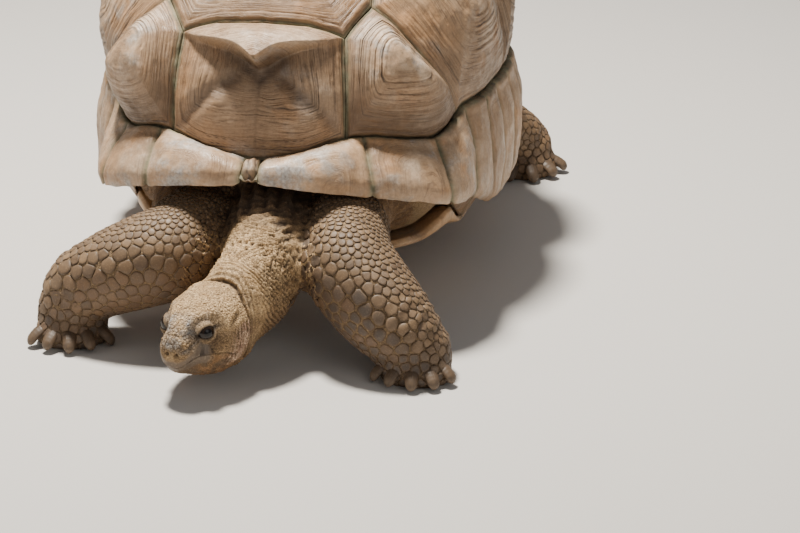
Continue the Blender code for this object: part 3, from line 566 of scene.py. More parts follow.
def normals(obj):
    n = np.empty(len(obj.data.vertices) * 3, np.float32)
    obj.data.vertex_normals.foreach_get("vector", n)
    return n.reshape(-1, 3).astype(float)


def set_coords(obj, co):
    obj.data.vertices.foreach_set("co", np.asarray(co, np.float32).ravel())
    obj.data.update()


def flip_if_inside_out(obj):
    bm = bmesh.new()
    bm.from_mesh(obj.data)
    bmesh.ops.recalc_face_normals(bm, faces=bm.faces)
    if bm.calc_volume(signed=True) < 0:
        bmesh.ops.reverse_faces(bm, faces=bm.faces)
    bm.to_mesh(obj.data)
    bm.free()


def evaluated(obj):
    graph = bpy.context.evaluated_depsgraph_get()
    mesh = bpy.data.meshes.new_from_object(obj.evaluated_get(graph))
    old = obj.data
    obj.modifiers.clear()
    obj.data = mesh
    bpy.data.meshes.remove(old)
    return obj


def show(obj, slot, *nodes):
    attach(obj, "root")
    if nodes:
        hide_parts(*nodes)
    return obj



# ---------------------------------------------------------------- materials
class Nodes:
    """A short way to write a node material."""

    def __init__(self, name, roughness=.6):
        self.mat = bpy.data.materials.new(name)
        self.mat.use_nodes = True
        self.tree = self.mat.node_tree
        self.shader = self.tree.nodes["Principled BSDF"]
        self.shader.inputs["Roughness"].default_value = roughness

    def add(self, kind, **sets):
        node = self.tree.nodes.new(kind)
        for key, value in sets.items():
            if hasattr(node, key):
                setattr(node, key, value)
            else:
                node.inputs[key].default_value = value
        return node

    def join(self, out, into):
        self.tree.links.new(out, into)

    def attribute(self, name):
        node = self.add("ShaderNodeAttribute")
        node.attribute_name = name
        return node.outputs["Fac"]

    def vector(self, name):
        node = self.add("ShaderNodeAttribute")
        node.attribute_name = name
        return node.outputs["Vector"]

    def position(self):
        return self.add("ShaderNodeTexCoord").outputs["Object"]

    def noise(self, scale, detail=4.0, rough=.55, at=None, distortion=0.0, stretch=None):
        node = self.add("ShaderNodeTexNoise")
        node.inputs["Scale"].default_value = scale
        node.inputs["Detail"].default_value = detail
        node.inputs["Roughness"].default_value = rough
        node.inputs["Distortion"].default_value = distortion
        at = at or self.position()
        if stretch is not None:
            m = self.add("ShaderNodeMapping")
            m.inputs["Scale"].default_value = stretch
            self.join(at, m.inputs["Vector"])
            at = m.outputs["Vector"]
        self.join(at, node.inputs["Vector"])
        return node.outputs["Fac"]

    def voronoi(self, scale, feature="F1", at=None, out="Distance", randomness=1.0):
        node = self.add("ShaderNodeTexVoronoi")
        node.feature = feature
        node.inputs["Scale"].default_value = scale
        node.inputs["Randomness"].default_value = randomness
        self.join(at or self.position(), node.inputs["Vector"])
        return node.outputs[out]

    def ramp(self, fac, *stops):
        """stops: (position, colour) with a colour of three numbers or one."""
        node = self.add("ShaderNodeValToRGB")
        els = node.color_ramp.elements
        while len(els) < len(stops):
            els.new(.5)
        for el, (pos, colour) in zip(els, stops):
            el.position = pos
            el.color = (*colour, 1) if isinstance(colour, (tuple, list)) else (colour, colour, colour, 1)
        self.join(fac, node.inputs["Fac"])
        return node.outputs["Color"]

    def math(self, op, a, b=None, clamp=False):
        node = self.add("ShaderNodeMath")
        node.operation = op
        node.use_clamp = clamp
        for k, v in enumerate((a, b)):
            if v is None:
                continue
            if isinstance(v, (int, float)):
                node.inputs[k].default_value = v
            else:
                self.join(v, node.inputs[k])
        return node.outputs[0]

    def mix(self, fac, a, b, blend="MIX"):
        node = self.add("ShaderNodeMix")
        node.data_type = "RGBA"
        node.blend_type = blend
        node.clamp_factor = True
        for socket, v in ((node.inputs[0], fac), (node.inputs[6], a), (node.inputs[7], b)):
            if isinstance(v, (int, float)):
                socket.default_value = v
            elif isinstance(v, (tuple, list)):
                socket.default_value = (*v, 1)
            else:
                self.join(v, socket)
        return node.outputs[2]

    def bump(self, height, distance, strength=1.0, under=None):
        node = self.add("ShaderNodeBump")
        node.inputs["Strength"].default_value = strength
        node.inputs["Distance"].default_value = distance
        self.join(height, node.inputs["Height"])
        if under is not None:
            self.join(under, node.inputs["Normal"])
        return node.outputs["Normal"]

    def done(self, colour=None, roughness=None, normal=None):
        if colour is not None:
            self.join(colour, self.shader.inputs["Base Color"])
        if roughness is not None:
            self.join(roughness, self.shader.inputs["Roughness"])
        if normal is not None:
            self.join(normal, self.shader.inputs["Normal"])
        return self.mat


def horn_material(name, tint=(1, 1, 1), dull=0.0):
    """Shell horn: tan and orange-brown, streaked along its rings, rubbed pale on the bosses with a painted bluish-grey
    sky reflection there, grey-green in the seams, with painted shade in the hollows and on faces that look down.
    """
    n = Nodes(name, .5)

    def t(c):
        return tuple(v * k for v, k in zip(c, tint))

    edge = n.attribute("edge")        # 1 in the seam
    line = n.attribute("line")        # 1 in a ring's groove
    wear_and_painted_sheen = n.attribute("wear_and_painted_sheen")        # 1 where it is rubbed smooth; it also carries a painted sheen
    tone = n.attribute("tone")        # one number for each plate
    warm = n.attribute("warm")        # orange horn
    earth_and_painted_shade = n.attribute("earth_and_painted_shade")        # earth, and painted shade in the hollows and on faces that look down
    big = n.noise(10, 5, .6)
    mid = n.noise(46, 5, .62)
    fine = n.noise(230, 4, .6)
    follow = n.vector("along")
    streak = n.noise(2.3, 4, .62, at=follow, distortion=.25)
    thin = n.noise(7.0, 3, .6, at=follow, distortion=.2)
    base = n.mix(n.ramp(big, (.32, 0), (.68, 1)), t((.335, .200, .104)), t((.500, .325, .182)))
    base = n.mix(n.ramp(mid, (.38, 0), (.66, .7)), base, t((.430, .280, .165)))
    base = n.mix(n.math("MULTIPLY", warm, n.ramp(n.noise(27, 5, .62), (.36, .15), (.66, 1))), base, t((.560, .300, .130)))
    base = n.mix(n.math("MULTIPLY", tone, .38), base, t((.245, .150, .085)))
    rough_part = n.math("MULTIPLY", n.math("SUBTRACT", 1.0, n.math("MULTIPLY", wear_and_painted_sheen, .88), clamp=True),
                        n.ramp(n.noise(9, 4, .6), (.38, .30), (.60, 1)))
    base = n.mix(n.math("MULTIPLY", rough_part, n.ramp(streak, (.36, .62), (.50, 0))), base, t((.120, .066, .035)))
    base = n.mix(n.math("MULTIPLY", rough_part, n.ramp(streak, (.56, 0), (.72, .40))), base, t((.570, .410, .265)))
    pale = n.math("MULTIPLY", wear_and_painted_sheen, n.ramp(n.noise(21, 6, .68), (.36, .25), (.60, 1)))
    base = n.mix(pale, base, n.mix(n.ramp(mid, (.3, 0), (.7, 1)), t((.540, .370, .235)), t((.680, .540, .395))))
    # painted sky reflection: bluish-grey patches on the rubbed places
    blue = n.math("MULTIPLY", wear_and_painted_sheen, n.ramp(n.noise(13, 5, .66), (.50, 0), (.60, .85)))
    base = n.mix(blue, base, n.mix(n.ramp(fine, (.35, 0), (.65, 1)), (.270, .270, .270), (.480, .475, .460)))
    base = n.mix(n.math("MULTIPLY", rough_part, n.ramp(thin, (.32, .50), (.44, 0))), base, t((.100, .056, .030)))
    base = n.mix(n.math("MULTIPLY", line, n.ramp(n.noise(60, 5, .7), (.30, .55), (.60, 1))), base, t((.044, .026, .015)))
    # darker with earth, and with painted shade in hollows and under overhangs
    base = n.mix(n.math("MULTIPLY", earth_and_painted_shade, n.ramp(mid, (.30, .70), (.66, 1))), base, t((.060, .035, .020)))
    specks = n.ramp(n.voronoi(330), (.0, 1), (.22, 0))
    base = n.mix(n.math("MULTIPLY", specks, .30), base, t((.085, .048, .026)))
    base = n.mix(n.ramp(fine, (.34, .28), (.62, 0)), base, t((.125, .072, .040)))
    green = n.mix(n.ramp(n.noise(38, 4), (.35, 0), (.65, 1)), (.070, .066, .036), (.235, .225, .135))
    base = n.mix(n.math("MULTIPLY", edge, n.ramp(n.noise(60, 5, .7), (.30, .35), (.58, 1))), base, green)
    dust = n.ramp(n.noise(17, 6, .7), (.55, 0), (.78, .40))
    base = n.mix(dust, base, (.47, .355, .235))
    rough = n.mix(n.ramp(mid, (.35, 0), (.65, 1)), (.38 + dull,) * 3, (.60 + dull,) * 3)
    rough = n.mix(edge, rough, (.74,) * 3)
    h = n.math("ADD", n.math("MULTIPLY", fine, .40), n.math("MULTIPLY", n.noise(620, 3, .5), .18))
    h = n.math("ADD", h, n.math("MULTIPLY", mid, .55))
    lines = n.math("ADD", n.math("MULTIPLY", n.ramp(thin, (.30, 0), (.46, 1)), .45), n.math("MULTIPLY", n.ramp(streak, (.30, 0), (.50, 1)), .75))
    h = n.math("ADD", h, n.math("MULTIPLY", lines, rough_part))
    return n.done(base, rough, n.bump(h, .0011, .75))


def skin_material(name, scaly=False):
    """Dry wrinkled skin: dusty grey-brown, darker in the folds, pale where it stands out and on the upper sides as
    painted light, with painted shade at the neck's root and low on the limbs.
    """
    n = Nodes(name, .78)
    fold = n.attribute("fold")        # 1 deep in a fold
    pale = n.attribute("pale")        # dusty skin, and painted sunlight on the upper sides of head and neck
    warm = n.attribute("warm")        # orange-brown
    blue = n.attribute("blue")        # bluish horn on the snout and crown
    pink = n.attribute("pink")        # pinkish folds of the cheek
    beak = n.attribute("beak")        # horn of the jaws
    dark = n.attribute("dark")        # dirt and shade colour
    big = n.noise(14, 5, .6)
    mid = n.noise(70, 5, .62)
    fine = n.noise(420, 4, .6)
    base = n.mix(n.ramp(big, (.33, 0), (.67, 1)), (.170, .100, .042), (.270, .168, .072))
    base = n.mix(n.ramp(mid, (.40, 0), (.64, .6)), base, (.310, .198, .090))
    base = n.mix(pale, base, n.mix(n.ramp(mid, (.36, 0), (.64, 1)), (.560, .350, .155), (.800, .550, .290)))
    base = n.mix(warm, base, n.mix(n.ramp(mid, (.36, 0), (.64, 1)), (.255, .120, .040), (.370, .190, .075)))
    base = n.mix(pink, base, n.mix(n.ramp(mid, (.40, 0), (.60, 1)), (.430, .255, .165), (.720, .500, .340)))
    base = n.mix(n.math("MULTIPLY", blue, n.ramp(n.noise(95, 5, .65), (.30, .35), (.60, 1))), base,
                 n.mix(n.ramp(mid, (.36, 0), (.64, 1)), (.185, .195, .210), (.400, .400, .390)))
    base = n.mix(beak, base, n.mix(n.ramp(n.noise(60, 5, .6, stretch=(1, 1, .35)), (.35, 0), (.65, 1)),
                                   (.052, .032, .019), (.135, .086, .048)))
    base = n.mix(dark, base, (.070, .047, .029))
    cell = n.voronoi(310 if not scaly else 230, "DISTANCE_TO_EDGE")
    gap = n.ramp(cell, (.0, 1), (.085, 0))
    smooth = n.math("SUBTRACT", 1.0, beak, clamp=True)
    base = n.mix(n.math("MULTIPLY", n.math("MULTIPLY", gap, smooth), .60), base, (.085, .050, .024))
    speckle = n.noise(210, 3, .7)
    base = n.mix(n.ramp(speckle, (.36, .55), (.50, 0)), base, (.110, .066, .032))
    base = n.mix(n.ramp(fine, (.34, .28), (.60, 0)), base, (.120, .080, .048))
    base = n.mix(n.ramp(fine, (.52, 0), (.78, .30)), base, (.68, .50, .30))
    base = n.mix(n.math("MULTIPLY", fold, .86), base, (.040, .024, .014))
    rough = n.mix(beak, (.80,) * 3, (.46,) * 3)
    h = n.math("ADD", n.math("MULTIPLY", n.ramp(cell, (.0, 0), (.18, 1)), .9), n.math("MULTIPLY", fine, .45))
    h = n.math("ADD", n.math("MULTIPLY", h, smooth), n.math("MULTIPLY", mid, .7))
    return n.done(base, rough, n.bump(h, .0009, .8))


def scale_material():
    """Horny scales of the legs: pale dusty crowns with painted highlight flecks, brown sides, dark centres on some,
    darker towards the undersides and the floor partly as painted shade.
    """
    n = Nodes("scale_horn", .6)
    rim = n.attribute("rim")          # 1 at a scale's border
    tone = n.attribute("tone")        # one number for each scale
    dark = n.attribute("dark")
    warm = n.attribute("warm")
    mid = n.noise(120, 5, .62)
    fine = n.noise(520, 4, .6)
    base = n.mix(n.ramp(tone, (0, 0), (1, 1)), (.064, .035, .016), (.255, .158, .076))
    base = n.mix(n.ramp(mid, (.36, 0), (.64, .6)), base, (.180, .110, .052))
    base = n.mix(warm, base, n.mix(n.ramp(mid, (.36, 0), (.64, 1)), (.170, .083, .031), (.262, .138, .056)))
    base = n.mix(n.math("MULTIPLY", dark, n.math("SUBTRACT", 1.0, rim, clamp=True)), base, (.060, .044, .034))
    base = n.mix(n.math("MULTIPLY", rim, .88), base, (.045, .026, .013))
    base = n.mix(n.ramp(fine, (.34, .30), (.60, 0)), base, (.105, .072, .046))
    # pale flecks: dust, and a painted highlight on the scales
    base = n.mix(n.ramp(fine, (.54, 0), (.80, .28)), base, (.60, .43, .24))
    rough = n.mix(n.ramp(mid, (.35, 0), (.65, 1)), (.50,) * 3, (.74,) * 3)
    h = n.math("ADD", n.math("MULTIPLY", mid, .7), n.math("MULTIPLY", fine, .4))
    return n.done(base, rough, n.bump(h, .0008, .7))


def claw_material():
    n = Nodes("claw_horn", .42)
    tip = n.attribute("tip")
    streak = n.noise(160, 4, .6, at=n.vector("along"))
    mid = n.noise(90, 4, .6)
    base = n.mix(n.ramp(streak, (.34, 0), (.66, 1)), (.040, .024, .014), (.100, .062, .034))
    base = n.mix(n.math("MULTIPLY", tip, .40), base, (.165, .110, .064))
    base = n.mix(n.ramp(mid, (.52, 0), (.72, .55)), base, (.034, .022, .013))
    rough = n.mix(n.ramp(mid, (.35, 0), (.65, 1)), (.40,) * 3, (.60,) * 3)
    return n.done(base, rough, n.bump(n.math("ADD", streak, n.math("MULTIPLY", mid, .5)), .0007, .7))


def eye_material():
    """Dark brown iris round a black pupil under a wet clear surface."""
    n = Nodes("eye_wet", .06)
    iris = n.attribute("iris")        # 0 at the middle of the pupil, 1 at the white's edge
    fibre = n.noise(900, 3, .6)
    colour = n.ramp(iris, (0, (.003, .002, .002)), (.40, (.003, .002, .002)), (.46, (.014, .007, .004)),
                    (.80, (.010, .006, .004)), (.94, (.008, .005, .004)))
    colour = n.mix(n.ramp(fibre, (.45, 0), (.75, .35)), colour, (.030, .016, .008))
    colour = n.mix(n.ramp(iris, (.0, 1), (.44, 1), (.47, 0)), colour, (.003, .002, .002))
    n.shader.inputs["Specular IOR Level"].default_value = .30
    n.shader.inputs["Coat Weight"].default_value = .25
    n.shader.inputs["Coat Roughness"].default_value = .02
    n.shader.inputs["IOR"].default_value = 1.38
    return n.done(colour)



# ---------------------------------------------------------------- shell
RINGS = {"vertebral_1": 34, "vertebral_5": 28, "costal_1": 30, "costal_2": 36, "costal_3": 36, "costal_4": 30}


def relief(name, t, p):
    """Height of a plate over the plain dome, 0 at its boss and 1 at its seam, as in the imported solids; p are disc points."""
    t = t + 0 * p[..., 1]
    seam = -.0012 * np.clip((t - .86) / .14, 0, 1) ** 2
    if name == "vertebral_1":
        return first_relief(p, t) + seam
    high = {"vertebral": .024, "costal_1": .040, "costal_2": .034, "costal_3": .038, "costal_4": .030}
    top = high.get(name[:8], high["vertebral"])
    return top * np.maximum(1 - t ** 1.9, 0) ** 1.1 + seam


def dense_loop(corners, step, mirrored=False, doubled=False):
    """The plate's outline with a point about every step of the unit disc, corners kept."""
    loop = outline(corners, 1, 2.2, mirrored=mirrored, doubled=doubled)
    out = []
    for p, q in zip(loop, np.roll(loop, -1, axis=0)):
        n = max(1, int(math.ceil(np.linalg.norm(q - p) / step)))
        out += [p + (q - p) * k / n for k in range(n)]
    return np.array(out)


def ring_grooves(q, seed, sharp=.20):
    """Groove depth 0..1 and terrace -.5...5 at ring coordinate q. Each ring has its own strength and width."""
    k = np.floor(q + .5).astype(np.int64)
    f = q - k
    strength = hashed(k, k * 0 + seed, k * 0, 3) ** 1.6
    width = sharp * (.55 + .8 * hashed(k, k * 0 + seed, k * 0, 4))
    return np.exp(-(f / width) ** 2) * (.12 + .88 * strength), (q - np.floor(q)) - .5


def ring_places(rings, seed):
    """Ring coordinate at each share 0 to 1 of the way to the seam: broad years and narrow ones."""
    rng = np.random.default_rng(900 + seed)
    step = .30 + 1.5 * rng.random(rings) ** 1.7
    step *= np.linspace(1.25, .75, rings)
    at = np.concatenate([[0], np.cumsum(step)])
    return at / at[-1]


def fine_plate(name, corners, centre, sign, doubled, number):
    base = name.replace("_left", "").replace("_right", "")
    first = base == "vertebral_1"
    loop = dense_loop(corners, .0050, mirrored=sign < 0, doubled=doubled)
    centre = np.array(centre, float) * [sign, 1]
    n = len(loop)
    rings = RINGS.get(base, 32)
    levels = np.concatenate([[.02, .05, .08, .11, .14, .17, .20, .23, .26], np.linspace(.29, .972, 92), [.982, .990, .996, 1.0]])
    coarse = rounded(loop[::4], centre, .012 if first else .075)
    soft = np.empty((n, 2))
    k = np.arange(n) / 4.0
    for c in range(2):
        soft[:, c] = np.interp(k, np.arange(len(coarse) + 1), np.append(coarse[:, c], coarse[0, c]))
    rel = loop - centre
    t = levels[:, None] * np.ones(n)[None]
    share = t ** (1 if first else 2.6)
    pts = centre + t[..., None] * (share[..., None] * rel[None] + (1 - share[..., None]) * soft[None])
    at, nrm = shell_at(pts, False)
    plain = at + nrm * relief(base, t, pts)[..., None]
    flat = plain.reshape(-1, 3)
    off = np.array([13.1 * number, 7.7 * number, 0])
    wob = fbm(flat + off, .055, 3, 11).reshape(t.shape)
    wob2 = fbm(flat + off, .016, 3, 12).reshape(t.shape)
    patch = fbm(flat + off, .085, 3, 19).reshape(t.shape)
    lumps = fbm(flat + off, .030, 3, 13).reshape(t.shape)
    granules = fbm(flat, .006, 2, 14).reshape(t.shape)
    from_edge = np.linalg.norm(plain - plain[-1][None], axis=-1)
    u, g = np.abs(pts[..., 0]), shelf(pts)
    q = np.interp(np.clip(t, 0, 1), ring_places(rings, number), np.arange(rings + 1.0))
    q = q + (.95 * wob + .16 * wob2) * (1 - ramp(t, .80, 1.0)) * (.35 + 1.1 * (1 - ramp(t, .30, .65)))
    if first:
        # the lower rings bend to a point on the middle line
        q = q + 2.6 * np.clip(1 - u / .13, 0, 1) * ramp(-g, .0, .05) * (1 - ramp(t, .93, 1.0)) * ramp(t, .2, .5)
    groove, terrace = ring_grooves(q, number)
    broken = .35 + .65 * ramp(fbm(np.stack([q * .035, t * 0 + number, np.broadcast_to(np.arange(n) * .0042 * .5, t.shape)], axis=-1).reshape(-1, 3), .030, 2, 18).reshape(t.shape), -.35, .15)
    fade = np.clip(.24 + .95 * ramp(patch, -.30, .30), 0, 1) * ramp(t, .16, .38) * (.60 + .40 * ramp(t, .3, .8))
    fade = np.maximum(fade, .85 * ramp(t, .86, .93))
    if first:
        fade = fade * (1 - .90 * ramp(g, -.012, .004) * (1 - .55 * ramp(t, .86, .95))) + .40 * ramp(-g, .02, .05) * ramp(t, .3, .5)
        fade = np.clip(fade, 0, 1)
    groove = groove * fade * broken
    swell = np.sin(2 * np.pi * (q * .38 + .3 * wob)) * ramp(t, .10, .30) * (1 - ramp(t, .70, .95)) * (0 if first else 1) * ramp(patch, -.5, .1)
    lift = -.00165 * groove - .00050 * terrace * fade + .0026 * wob + (.0015 + .0026 * (1 - ramp(t, .25, .60)) * (0 if first else 1)) * lumps + .0006 * wob2 + .00018 * granules + .0007 * swell
    lift -= .0014 * bell(from_edge, .0050) + .0013 * bell(from_edge - .0045, .0014) + .0007 * bell(from_edge, .0010)
    lift += .0009 * bell(from_edge - .0115, .0045) - .0006 * bell(from_edge - .0175, .0014)
    crease = 0 * t
    if first:
        low = ramp(-g, .012, .035)
        crease = bell(pts[..., 0] - .003 * wob, .0042) * low * (1 - ramp(t, .95, 1)) * .8
        way = np.arctan2(u, np.maximum(-(pts[..., 1] + .585), 1e-6))
        valley = bell((way - .93) * np.hypot(u, pts[..., 1] + .585), .017) * low * ramp(np.hypot(u, pts[..., 1] + .585), .03, .08) * (1 - ramp(t, .80, .97))
        lift += -.0009 * crease - .0068 * valley
        groove = np.maximum(groove, .18 * crease)
    top = plain + nrm * lift[..., None]
    if first:
        # the shelf's edge hangs over the hollow
        down = np.array([0, 0, -1.0]) - nrm * -nrm[..., 2:]
        hang = (.0050 + .0060 * np.exp(-(u / .05) ** 2)) * np.exp(-((g - .006) / .020) ** 2) * (1 - ramp(t, .72, .95))
        top = top + down * hang[..., None]
    # closed below by a wall and a plain inner face
    edge_at, edge_n = shell_at(loop, False)
    inner = edge_at - edge_n * PLATE
    half, nh = shell_at(centre + .5 * rel, False)
    mid, nm = shell_at(np.array([centre]), False)
    for row in (top[-1], inner):
        d = half - row
        row += d / np.linalg.norm(d, axis=1, keepdims=True) * GAP
    deep = PLATE + (.0135 if first else 0)
    points = np.concatenate([top.reshape(-1, 3), inner, half - nh * deep, [top[0].mean(axis=0), mid[0] - nm[0] * deep]])
    rows = len(levels) + 2
    faces = [tuple(f) for f in grid_faces(rows, n, True).tolist()]
    a, b = len(points) - 2, len(points) - 1
    faces += [(a, (i + 1) % n, i) for i in range(n)]
    last = (rows - 1) * n
    faces += [(b, last + i, last + (i + 1) % n) for i in range(n)]
    obj = mesh_object("shell_" + name, points, faces, MAT["horn"])
    flip_if_inside_out(obj)
    tail = len(points) - top.shape[0] * n

    def full(x, end=0.0):
        return np.concatenate([(x + 0 * t).ravel(), np.full(tail, end)])

    up = ramp(nrm[..., 2], .0, .7)
    wear_and_painted_sheen = .80 * np.exp(-(t / .40) ** 2) * ramp(lumps, -.5, .2) + .75 * ramp(patch + .5 * lumps, .08, .42) * (1 - ramp(t, .82, .97))
    earth_and_painted_shade = 0 * t
    if first:
        over = ramp(g, -.014, .004)
        # the first vertebral: paler on the top of its shelf, partly painted light
        wear_and_painted_sheen = wear_and_painted_sheen * .5 + .48 * over * (1 - ramp(t, .72, .98)) * ramp(lumps, -.5, .2) + .7 * (1 - over) * ramp(t, .80, .93) * bell(u - .03, .05) * ramp(lumps, -.3, .3)
        # painted shadow in the hollow under the shelf, in its diagonal valleys and below it
        earth_and_painted_shade = 1.3 * (1 - over) * np.exp(-(u / .042) ** 2 - ((g + .022) / .026) ** 2) + .60 * (1 - over) * np.exp(-(u / .10) ** 2 - ((g + .026) / .034) ** 2) + .62 * valley + .22 * (1 - over) * np.exp(-(u / .15) ** 2 - ((g + .05) / .07) ** 2)
    if not first:
        # painted shade on faces that look down
        earth_and_painted_shade = (.75 if base == "costal_1" else .45) * ramp(-nrm[..., 2], -.62, -.10) * ramp(t, .40, .80)
        if base != "vertebral_2":
            earth_and_painted_shade = earth_and_painted_shade + .26 * ramp(nrm[..., 2], .66, .92) * (.5 + .5 * ramp(-patch, -.3, .3))
            wear_and_painted_sheen = wear_and_painted_sheen * (1 - .35 * ramp(nrm[..., 2], .66, .92))
    put_attribute(obj, "edge", full(np.clip(bell(from_edge, .0060) * 1.1, 0, 1), 1.0))
    put_attribute(obj, "line", full(np.clip(groove * 1.9 + .75 * bell(from_edge - .0042, .0011), 0, 1)))
    # stronger on faces that look up, where the painted sky reflection falls
    put_attribute(obj, "wear_and_painted_sheen", full(np.clip(wear_and_painted_sheen, 0, 1) * (.55 + .45 * up)))
    put_attribute(obj, "earth_and_painted_shade", full(np.clip(earth_and_painted_shade, 0, 1)))
    put_attribute(obj, "tone", full(hashed(np.array([number]), np.array([5]), np.array([9]), 1)[0] * (.4 + .6 * ramp(t, .3, .9))))
    put_attribute(obj, "warm", full(np.clip(ramp(fbm(flat + off, .06, 3, 33).reshape(t.shape), -.05, .40) * .9 + .3 * ramp(t, .7, .95), 0, 1)))
    ang = np.broadcast_to(np.linspace(0, 2 * np.pi, n, endpoint=False)[None], t.shape)
    along = np.stack([q + 37.0 * number, 1.25 * np.cos(ang) * t, 1.25 * np.sin(ang) * t], axis=-1)
    put_attribute(obj, "along", np.concatenate([along.reshape(-1, 3), np.zeros((tail, 3))]))
    return show(obj, "horn", name)


def fine_marginals(name, ends, sign, per_plate, number, kind="marginal"):
    """A run of marginals, each with its growth centre low down at its rear."""
    levels = np.concatenate([np.linspace(SEAM_R, .965, 44), np.linspace(.970, 1.030, 22), np.linspace(1.036, UNDER_R, 10)])
    degs, locals_, who = [], [], []
    for m, (a, b) in enumerate(zip(ends, ends[1:])):
        k = np.linspace(0, 1, per_plate + 1)
        k = .5 - .5 * np.cos(np.pi * k) * .35 - .5 * (1 - 2 * k) * .65
        k = k if b == ends[-1] else k[:-1]
        degs += list(a + (b - a) * k)
        locals_ += list(k)
        who += [m] * len(k)
    phi = np.radians(np.array(degs)) * sign
    u = np.array(locals_)
    who = np.array(who)
    hump = 1 - (2 * u - 1) ** 2
    grid = np.stack(np.meshgrid(phi, levels, indexing="ij"), axis=-1)
    at, nrm = shell_at(grid, True)
    shape = at.shape[:2]
    across = np.clip(1 - ((levels - .89) / .10) ** 2, 0, 1)[None]
    outer = (levels < 1.05)[None]
    lift = .0060 * np.exp(-((levels - SEAM_R) / .030) ** 2)[None] + .0105 * hump[:, None] ** .62 * across - .001 * (1 - hump[:, None]) ** 4 * outer
    plain = at + nrm * lift[..., None]
    flat = plain.reshape(-1, 3)
    off = np.array([3.3 * number, 0, 5.1 * number])
    wob = fbm(flat + off, .05, 3, 21).reshape(shape)
    # distance to the plate's own borders, in metres
    first = np.array([np.argmax(who == m) for m in who])
    last = np.array([len(who) - 1 - np.argmax(who[::-1] == m) for m in who])
    last = np.where(last + 1 < len(who), last + 1, last)
    side = np.minimum(np.linalg.norm(plain - plain[first], axis=-1), np.linalg.norm(plain - plain[last], axis=-1))
    seam = np.linalg.norm(plain - plain[:, :1], axis=-1)
    v = np.clip((1.0 - levels) / (1.0 - SEAM_R), -1, 1)[None] + 0 * wob
    uc, vc = (.70, .06) if kind == "marginal" else (.5, .05)
    du = np.where(u < uc, (uc - u) / uc, (u - uc) / (1 - uc))[:, None] + 0 * v
    dv = np.clip((v - vc) / (1 - vc), 0, 1)
    tt = (du ** 4 + dv ** 4) ** .25
    count = 16 if kind == "marginal" else 10
    wob2 = fbm(flat + off, .015, 3, 25).reshape(shape)
    q = np.interp(tt, ring_places(count, 50 + number), np.arange(count + 1.0)) + .9 * wob + .35 * wob2
    groove, terrace = ring_grooves(q, 40 + number)
    patch = fbm(flat + off, .08, 3, 23).reshape(shape)
    front = bell(np.degrees(np.abs(grid[..., 0])) / 60, .75)
    fade = np.clip(.10 + .95 * ramp(patch, -.15, .40), 0, 1) * ramp(tt, .30, .62) * (levels < 1.06)[None] * (1 - .55 * front)
    groove = groove * fade
    border = np.minimum(side, seam)
    border = np.where((levels > 1.0)[None], side, border)
    lumps = fbm(flat + off, .022, 3, 24).reshape(shape)
    fine = -.0011 * groove - .0004 * terrace * fade + .0030 * wob + .0018 * lumps + .0005 * wob2
    fine -= .0016 * bell(border, .0042) + .0008 * bell(border, .0011)
    fine += .0010 * bell(border - .011, .005)
    if kind == "nuchal":
        ridges = np.sin((grid[..., 0] / math.radians(1.5) + .45 * wob + .3 * wob2) * 7.5)
        fine += .0009 * ridges * ramp(levels, SEAM_R, .84)[None] - .0050 + .0012 * wob2
        groove = np.maximum(groove, .8 * ramp(-ridges, .2, .9))
    top = plain + nrm * (fine * np.where(levels > 1.06, .5, 1)[None])[..., None]
    for row, nxt in ((0, 1), (-1, -2)):
        d = top[nxt] - top[row]
        top[row] += d / np.maximum(np.linalg.norm(d, axis=-1, keepdims=True), 1e-9) * GAP
    d = top[:, 1] - top[:, 0]
    top[:, 0] -= d / np.maximum(np.linalg.norm(d, axis=-1, keepdims=True), 1e-9) * .0034 + nrm[:, 0] * .0050
    rows, cols = shape
    points = np.concatenate([top.reshape(-1, 3), [top[0].mean(axis=0), top[-1].mean(axis=0)]])
    faces = [tuple(f) for f in grid_faces(rows, cols, True).tolist()]
    a, b = len(points) - 2, len(points) - 1
    last_row = (rows - 1) * cols
    faces += [(a, (i + 1) % cols, i) for i in range(cols)]
    faces += [(b, last_row + i, last_row + (i + 1) % cols) for i in range(cols)]
    obj = mesh_object("shell_" + name, points, faces, MAT["horn"])
    flip_if_inside_out(obj)

    def full(x, end=0.0):
        return np.concatenate([(x + 0 * wob).ravel(), [end, end]])

    tones = hashed(who + 100 * number, who * 0, who * 0, 2)[:, None]
    put_attribute(obj, "edge", full(np.clip(1.1 * bell(border, .0058), 0, 1)))
    put_attribute(obj, "line", full(np.clip(groove * 1.15, 0, 1)))
    put_attribute(obj, "wear_and_painted_sheen", full(np.clip((.35 + .65 * front) * ramp(patch + .6 * lumps, -.25, .35) * (levels < 1.02)[None] + .55 * bell(levels - 1.0, .022)[None] * ramp(wob, -.3, .3), 0, 1)))
    # painted shade under the rim's outer edge, earth in lumps, the nuchal darker all over
    put_attribute(obj, "earth_and_painted_shade", full(.35 * ramp(levels, 1.0, 1.05)[None] + .30 * ramp(lumps, .1, .5) + (.45 if kind == "nuchal" else 0)))
    put_attribute(obj, "tone", full(tones * .8 * (levels < 1.06)[None] + .8 * (levels >= 1.06)[None]))
    put_attribute(obj, "warm", full(np.clip(ramp(fbm(flat + off, .05, 2, 34).reshape(shape), .0, .5) + .25 * (levels > .95)[None], 0, 1)))
    along = np.stack([q + 37.0 * number, tt * 0, (grid[..., 0] * 4.0)], axis=-1)
    put_attribute(obj, "along", np.concatenate([along.reshape(-1, 3), np.zeros((2, 3))]))
    return show(obj, "horn", name)


